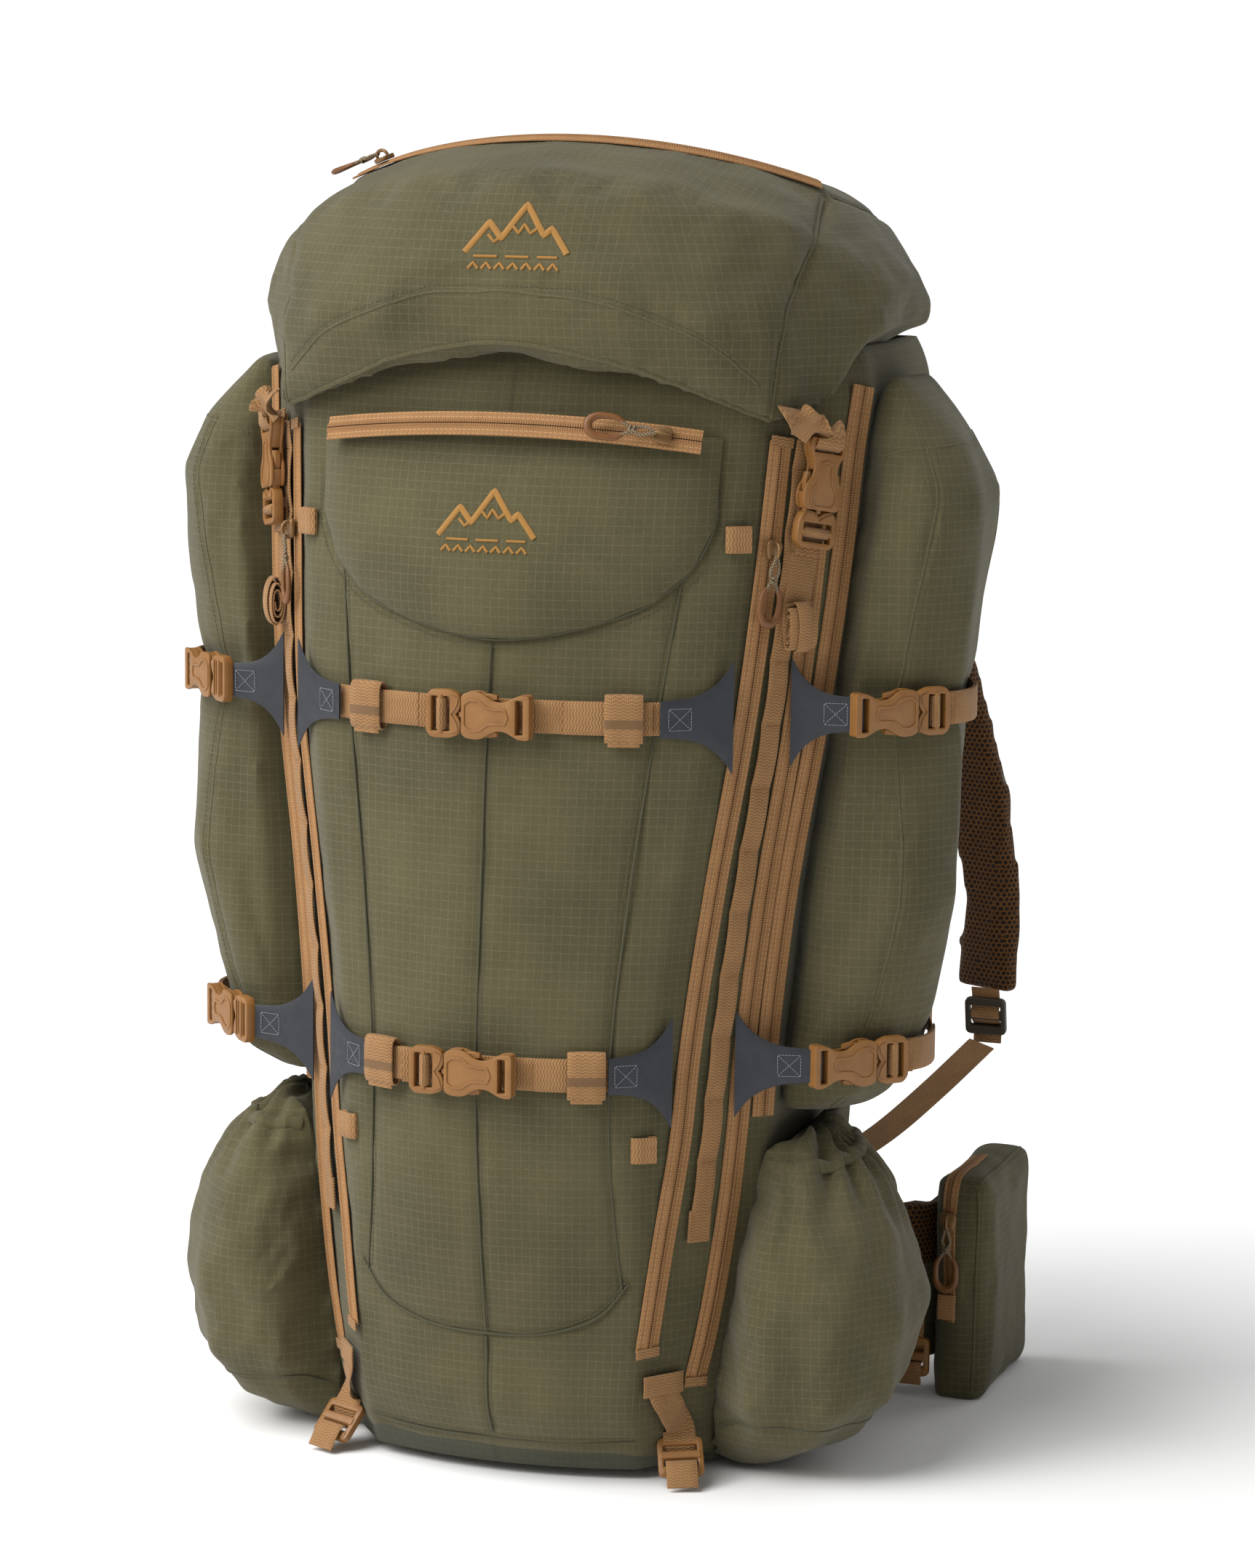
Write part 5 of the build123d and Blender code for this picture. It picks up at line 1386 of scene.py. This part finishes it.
def slider(name, place):
    body = Piece(f"slider_{name}_body", f"slider_{name}", "slider_metal", METAL)
    body.solid([rounded(both_sides([(-7, 4.2), (-4.5, 5.7), (0, 5.2), (5, 3.5)]), 1.6)], 0, 3.0, place, 0.8)
    bridge = local(place, smooth_path([(-5.4, 0, 2.2), (-5.0, 0, 4.6), (-3.2, 0, 6.4), (0, 0, 6.9),
                                       (2.4, 0, 6.3), (4.0, 0, 4.4), (4.3, 0, 2.2)], 0.9))
    body.sweep(bridge, turn(place, (0, 1, 0)), ring(1.15, 10, 0.85))
    body.done(f"zip_slider_{name}", angle=50)
    pull = Piece(f"pull_{name}_grip", f"pull_{name}", "pull_grip", GRIP, CORD)
    long, wide, start = 39.0, 6.6, 6.9
    far = start + long - 2.8
    grip = smooth_path([(far - 21, wide * 0.62, 5.4), (far - 17, wide * 0.92, 5.3), (far - 10, wide, 5.3),
                        (far - 4, wide * 0.86, 5.3), (far - 0.8, wide * 0.45, 5.3), (far, 0, 5.3),
                        (far - 0.8, -wide * 0.45, 5.3), (far - 4, -wide * 0.86, 5.3), (far - 10, -wide, 5.3),
                        (far - 17, -wide * 0.92, 5.3), (far - 21, -wide * 0.62, 5.4)], 1.2)
    share = np.linspace(0, 1, len(grip))
    fat = np.interp(share, [0, 0.08, 0.3, 0.5, 0.7, 0.92, 1], [0.6, 0.8, 0.95, 1.25, 0.95, 0.8, 0.6])
    pull.sweep(local(place, grip), turn(place, (0, 0, 1)), ring(2.3, 10, 0.72), 0, scale=fat)
    for flip in (-1, 1):
        strand = smooth_path([(start - 4.6, flip * 0.2, 5.4), (start - 1.5, flip * 1.2, 5.9),
                              (start + 5, flip * 2.6, 5.3 + flip * 0.5),
                              (start + 10, flip * 1.0, 5.3 + flip * 0.8),
                              (start + 14, flip * 3.0, 5.3), (far - 19, flip * wide * 0.7, 5.3)], 1.0)
        pull.sweep(local(place, strand), turn(place, (0, 0, 1)), ring(1.05, 10), 1)
    knot = smooth_path([(start + 8.2, -2.4, 5.0), (start + 9, 0, 6.7), (start + 9.4, 2.4, 5.2),
                        (start + 10.4, 0.6, 4.2), (start + 10.8, -2.2, 5.4), (start + 11.4, 0.4, 6.6),
                        (start + 11.8, 2.4, 5.0)], 0.9)
    pull.sweep(local(place, knot), turn(place, (1, 0, 0)), ring(0.95, 10), 1)
    pull.done(f"zip_pull_{name}", angle=60)


for name, place in SLIDERS.items():
    slider(name, place)


# ---------------------------------------------------------------- ladder-locks, bottom straps, haul loop
def lock(piece, place):
    """Ladder-lock: a plate with two slots and two raised bars."""
    outline = rounded(both_sides([(-13, 11.5), (-11, 14), (11, 14), (13, 11.5)]), 2.4)
    holes = [box_outline(x - 2.0, x + 2.0, -10.4, 10.4, 0.8) for x in (-5.6, 4.4)]
    piece.solid([outline, *holes], -2.4, 2.4, place, 0.9)
    piece.solid([box_outline(-3.0, 1.8, -12.4, 12.4, 1.0)], 1.8, 3.2, place, 0.5)
    piece.solid([box_outline(7.2, 12.0, -12.0, 12.0, 1.2)], 1.8, 3.0, place, 0.5)


def bottom_place(side):
    down = Vector((side * 0.28, -0.62, -0.73)).normalized()
    return place_at((side * 112, -178, 17), down, (side * 0.25, -0.72, 0.65))


strap_piece = Piece("bottom_strap_webbing", "pack", "tan_webbing", TAN)
for side, word in ((-1, "left"), (1, "right")):
    place = bottom_place(side)
    start = facet_point(side, 0.22, 62, 3.0)[0]
    n = facet_normal(side, 58)[0]
    end = local(place, [(-17, 0, 2.2)])[0]
    over = turn(place, (0, 0, 1))
    path = smooth_path([start + (0, 0, 6), start, (start + end) / 2 + n * 1.6, end,
                        local(place, [(-10, 0, 1.2)])[0]], 2.0)
    blend_n = n + (over - n) * np.linspace(0, 1, len(path))[:, None]
    strap_piece.sweep(path, blend_n, band_profile(WEBBING, WEBBING_T))
    across = unit(np.cross(n, [0, 0, 1.0]))
    patch = np.array([start + (0, 0, 9) + n * 1.2, start + (0, 0, 2) + n * 1.4, start - (0, 0, 4) + n * 1.2])
    strap_piece.sweep(patch, n, band_profile(30, 1.3))
    lock_piece = Piece(f"bottom_ladder_lock_{word}", f"ladder_{word}", "buckle_plastic", PLASTIC, TAN)
    lock(lock_piece, place)
    wrap = smooth_path([(-12.6, 0, 1.4), (-7.6, 0, -0.6), (-5.4, 0, -2.8), (-2, 0, -3.6), (2.4, 0, -2.6),
                        (4.2, 0, 0.6), (4.8, 0, 3.6), (8, 0, 4.8), (13, 0, 4.6), (19, 0, 3.4), (22, 0, 2.8)],
                       1.2)
    ahead = unit(np.gradient(wrap, axis=0))
    lock_piece.sweep(local(place, wrap), np.cross(ahead, [0, 1.0, 0]) @ np.array(place.to_3x3()).T,
                     band_profile(19.2, 1.1), 1)
    lock_piece.done(f"ladder_lock_{word}", angle=CRISP_ANGLE)
strap_piece.done("bottom_straps")

haul = Piece("haul_loop_webbing", "pack", "tan_webbing", TAN)
y = BACK_Y + 3
line = [(-46, 4), (-46, 12), (-36, 15.4), (0, 16.2), (36, 15.4), (46, 12), (46, 4)]
path = smooth_path([(x, y + out, 632) for x, out in line], 2.0)
haul.sweep(path, -level_normals(path), band_profile(WEBBING, 2.2))
for side in (-1, 1):
    foot = smooth_path([(side * 28, y + 0.4, 632), (side * 38, y + 0.4, 632), (side * 48, y + 0.8, 632)], 2.0)
    haul.sweep(foot, (0, 1, 0), band_profile(WEBBING, 2.0))
haul.done("grab_handle")


# ---------------------------------------------------------------- hip belt and shoulder harness
def hip_details():
    for side, word in ((-1, "left"), (1, "right")):
        skin = Skin(soft[f"hip_pocket_{word}"])
        trim = Piece(f"hip_pocket_zip_{word}", f"hip_{word}", "zip_tape", ZIPPER, CLOTH, THREAD_OLIVE, TAN)
        path, out = skin.drape([(side * 216, 60, 52), (side * 216, 60, 90), (side * 216, 60, 128),
                                (side * 218, 66, 146), (side * 220, 84, 149), (side * 222, 120, 149)], 0.0,
                               2.0)
        trim.sweep(path, out, ZIP_PROFILE * (0.6, 0.7))
        for line in ([(side * 233, 64, 6), (side * 234, 64, 70), (side * 234, 66, 140)],
                     [(side * 236, 64, 146), (side * 238, 110, 148), (side * 236, 168, 146)],
                     [(side * 236, 174, 6), (side * 238, 174, 80), (side * 236, 174, 142)]):
            path, out = skin.drape(line, 0.0)
            trim.sweep(path, out, ring(1.0, 8, 0.8), 1)
        trim.sweep(smooth_path([(side * 216, 60.4, 70), (side * 216, 59.6, 62), (side * 216, 60.0, 54)], 2.0),
                   (0, -1, 0), band_profile(12, 1.6), 3)
        trim.done()
        adjust = Piece(f"hip_adjuster_{word}_lock", f"hip_{word}", "buckle_plastic", PLASTIC, TAN)
        place = place_at((side * 190, 64, 26), (0, 0, -1), (0, -1, 0))
        lock(adjust, place)
        line = smooth_path([(-36, 0, -3.2), (-16, 0, -2.4), (-8, 0, -0.6), (-5.4, 0, -2.6), (-1, 0, -3.2),
                            (3.6, 0, -1.6), (4.6, 0, 2.6), (8, 0, 4.0), (14, 0, 3.2), (18, 0, 2.2)], 1.2)
        ahead = unit(np.gradient(line, axis=0))
        adjust.sweep(local(place, line), np.cross(ahead, [0, 1.0, 0]) @ np.array(place.to_3x3()).T,
                     band_profile(19.2, 1.1), 1)
        adjust.done(f"hip_adjuster_{word}", angle=CRISP_ANGLE)


hip_details()

locks = Piece("harness_locks", "harness", "dark_plastic", DARK, TAN)
low_webbing = Piece("shoulder_lower_webbing", None, "tan_webbing", TAN)
for side, word in ((-1, "left"), (1, "right")):
    x, y, z = SHOULDER[-1]
    place = place_at((side * x, y - 2, z - 16), (0, 0.2, -1), (0, 1, 0.2))
    lock(locks, place)
    stub = smooth_path([(-20, 0, 0), (-12, 0, 1.0), (-5.6, 0, -1.4), (-2, 0, -3.2), (4.4, 0, 0), (8, 0, 3.4),
                        (14, 0, 3.0), (20, 0, 1.0)], 1.2)
    bend = unit(np.gradient(stub, axis=0))
    locks.sweep(local(place, stub), np.cross(bend, [0, 1.0, 0]) @ np.array(place.to_3x3()).T,
                band_profile(19.2, 1.1), 1)
    top, low = np.array([side * x, y - 12, z - 34.0]), np.array([side * 140, BACK_Y + 8, 150.0])
    run = smooth_path([top, top * 0.66 + low * 0.34 - (0, 0, 4), top * 0.33 + low * 0.67 - (0, 0, 5), low],
                      4.0)
    low_webbing.sweep(run, (0, -0.6, 0.8), band_profile(WEBBING, WEBBING_T))
locks.done("strap_adjusters", angle=CRISP_ANGLE)
webbing = low_webbing.done("shoulder_webbing")
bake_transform(webbing)

sternum = Piece("sternum_webbing", "harness", "tan_webbing", TAN, PLASTIC)
place = place_at((0, 245, 365), (1, 0, 0), (0, 1, 0))
for side in (-1, 1):
    path = smooth_path([(side * 160, 238.4, 365), (side * 110, 238.1, 365), (side * 50, 238.1, 365),
                        (side * 4, 238.1, 365)], 4.0)
    sternum.sweep(path, (0, 1, 0), band_profile(WEBBING, WEBBING_T))
socket_half(sternum, place)
sternum.done("sternum_strap", angle=CRISP_ANGLE)
clip = Piece("sternum_clip_half", "sternum_clip", "buckle_plastic", PLASTIC)
clip_half(clip, place)
clip.done("sternum_clip", angle=CRISP_ANGLE)

# CAD nodes that stay as they are
for node, material in (("frame_sheet", POLYMER), ("frame_stays", ALLOY)):
    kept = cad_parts[node]
    kept.data.materials.clear()
    kept.data.materials.append(material)


# ---------------------------------------------------------------- floor, light, camera
def stage_material():
    material = bpy.data.materials.new("floor_pale")
    material.use_nodes = True
    shader = material.node_tree.nodes["Principled BSDF"]
    grain = material.node_tree.nodes.new("ShaderNodeTexNoise")
    grain.inputs["Scale"].default_value = 3.0
    ramp = material.node_tree.nodes.new("ShaderNodeMapRange")
    ramp.inputs[3].default_value, ramp.inputs[4].default_value = 0.94, 0.96
    material.node_tree.links.new(grain.outputs[0], ramp.inputs[0])
    material.node_tree.links.new(ramp.outputs[0], shader.inputs["Base Color"])
    shader.inputs["Roughness"].default_value = 0.9
    return material


bpy.ops.mesh.primitive_grid_add(x_subdivisions=12, y_subdivisions=12, size=24, location=(0, 0, 0))
floor = bpy.context.object
floor.name = "floor"
floor.data.materials.append(stage_material())
floor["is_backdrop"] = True

world = bpy.data.worlds.new("studio")
bpy.context.scene.world = world
world.use_nodes = True
tree = world.node_tree
base = tree.nodes["Background"]
base.inputs["Color"].default_value = (1, 1, 1, 1)
base.inputs["Strength"].default_value = 0.33
bright = tree.nodes.new("ShaderNodeBackground")
bright.inputs["Color"].default_value = (1, 1, 1, 1)
bright.inputs["Strength"].default_value = 1.1
path_info = tree.nodes.new("ShaderNodeLightPath")
mixed = tree.nodes.new("ShaderNodeMixShader")
tree.links.new(path_info.outputs["Is Camera Ray"], mixed.inputs[0])
tree.links.new(base.outputs[0], mixed.inputs[1])
tree.links.new(bright.outputs[0], mixed.inputs[2])
tree.links.new(mixed.outputs[0], tree.nodes["World Output"].inputs["Surface"])


def lamp(name, place, aim, size, energy, colour=(1, 1, 1)):
    data = bpy.data.lights.new(name, "AREA")
    data.shape, data.energy, data.color = "RECTANGLE", energy, colour
    data.size, data.size_y = size
    light = bpy.data.objects.new(name, data)
    bpy.context.scene.collection.objects.link(light)
    light.location = place
    light.rotation_euler = (Vector(aim) - Vector(place)).to_track_quat("-Z", "Y").to_euler()


lamp("key", (-1.9, -2.4, 1.9), (0, -0.05, 0.4), (1.4, 1.4), 44, (1.0, 0.985, 0.96))
lamp("rim", (1.4, 2.2, 1.8), (0, 0, 0.5), (1.2, 1.6), 9)
sun = bpy.data.objects.new("overhead", bpy.data.lights.new("overhead", "SUN"))
bpy.context.scene.collection.objects.link(sun)
sun.data.energy, sun.data.angle = 3.0, math.radians(50)
sun.rotation_euler = (math.radians(20), math.radians(-30), 0)

data = bpy.data.cameras.new("camera")
camera = bpy.data.objects.new("camera", data)
bpy.context.scene.collection.objects.link(camera)
back = Vector((0.3216, -0.9339, 0.1564)).normalized()
camera.location = Vector((0, -0.063, 0.400)) + back * 3.0
aim = (-back).to_track_quat("-Z", "Y")
camera.rotation_euler = (aim.to_matrix() @ Matrix.Rotation(math.radians(0.58), 3, "Z")).to_euler()
data.lens, data.sensor_width = 109.6, 36.0
data.shift_x, data.shift_y = 0.0334, 0.0102
data.clip_start, data.clip_end = 0.1, 60.0
bpy.context.scene.camera = camera
bpy.context.scene.view_settings.view_transform = "Standard"

low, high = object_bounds()
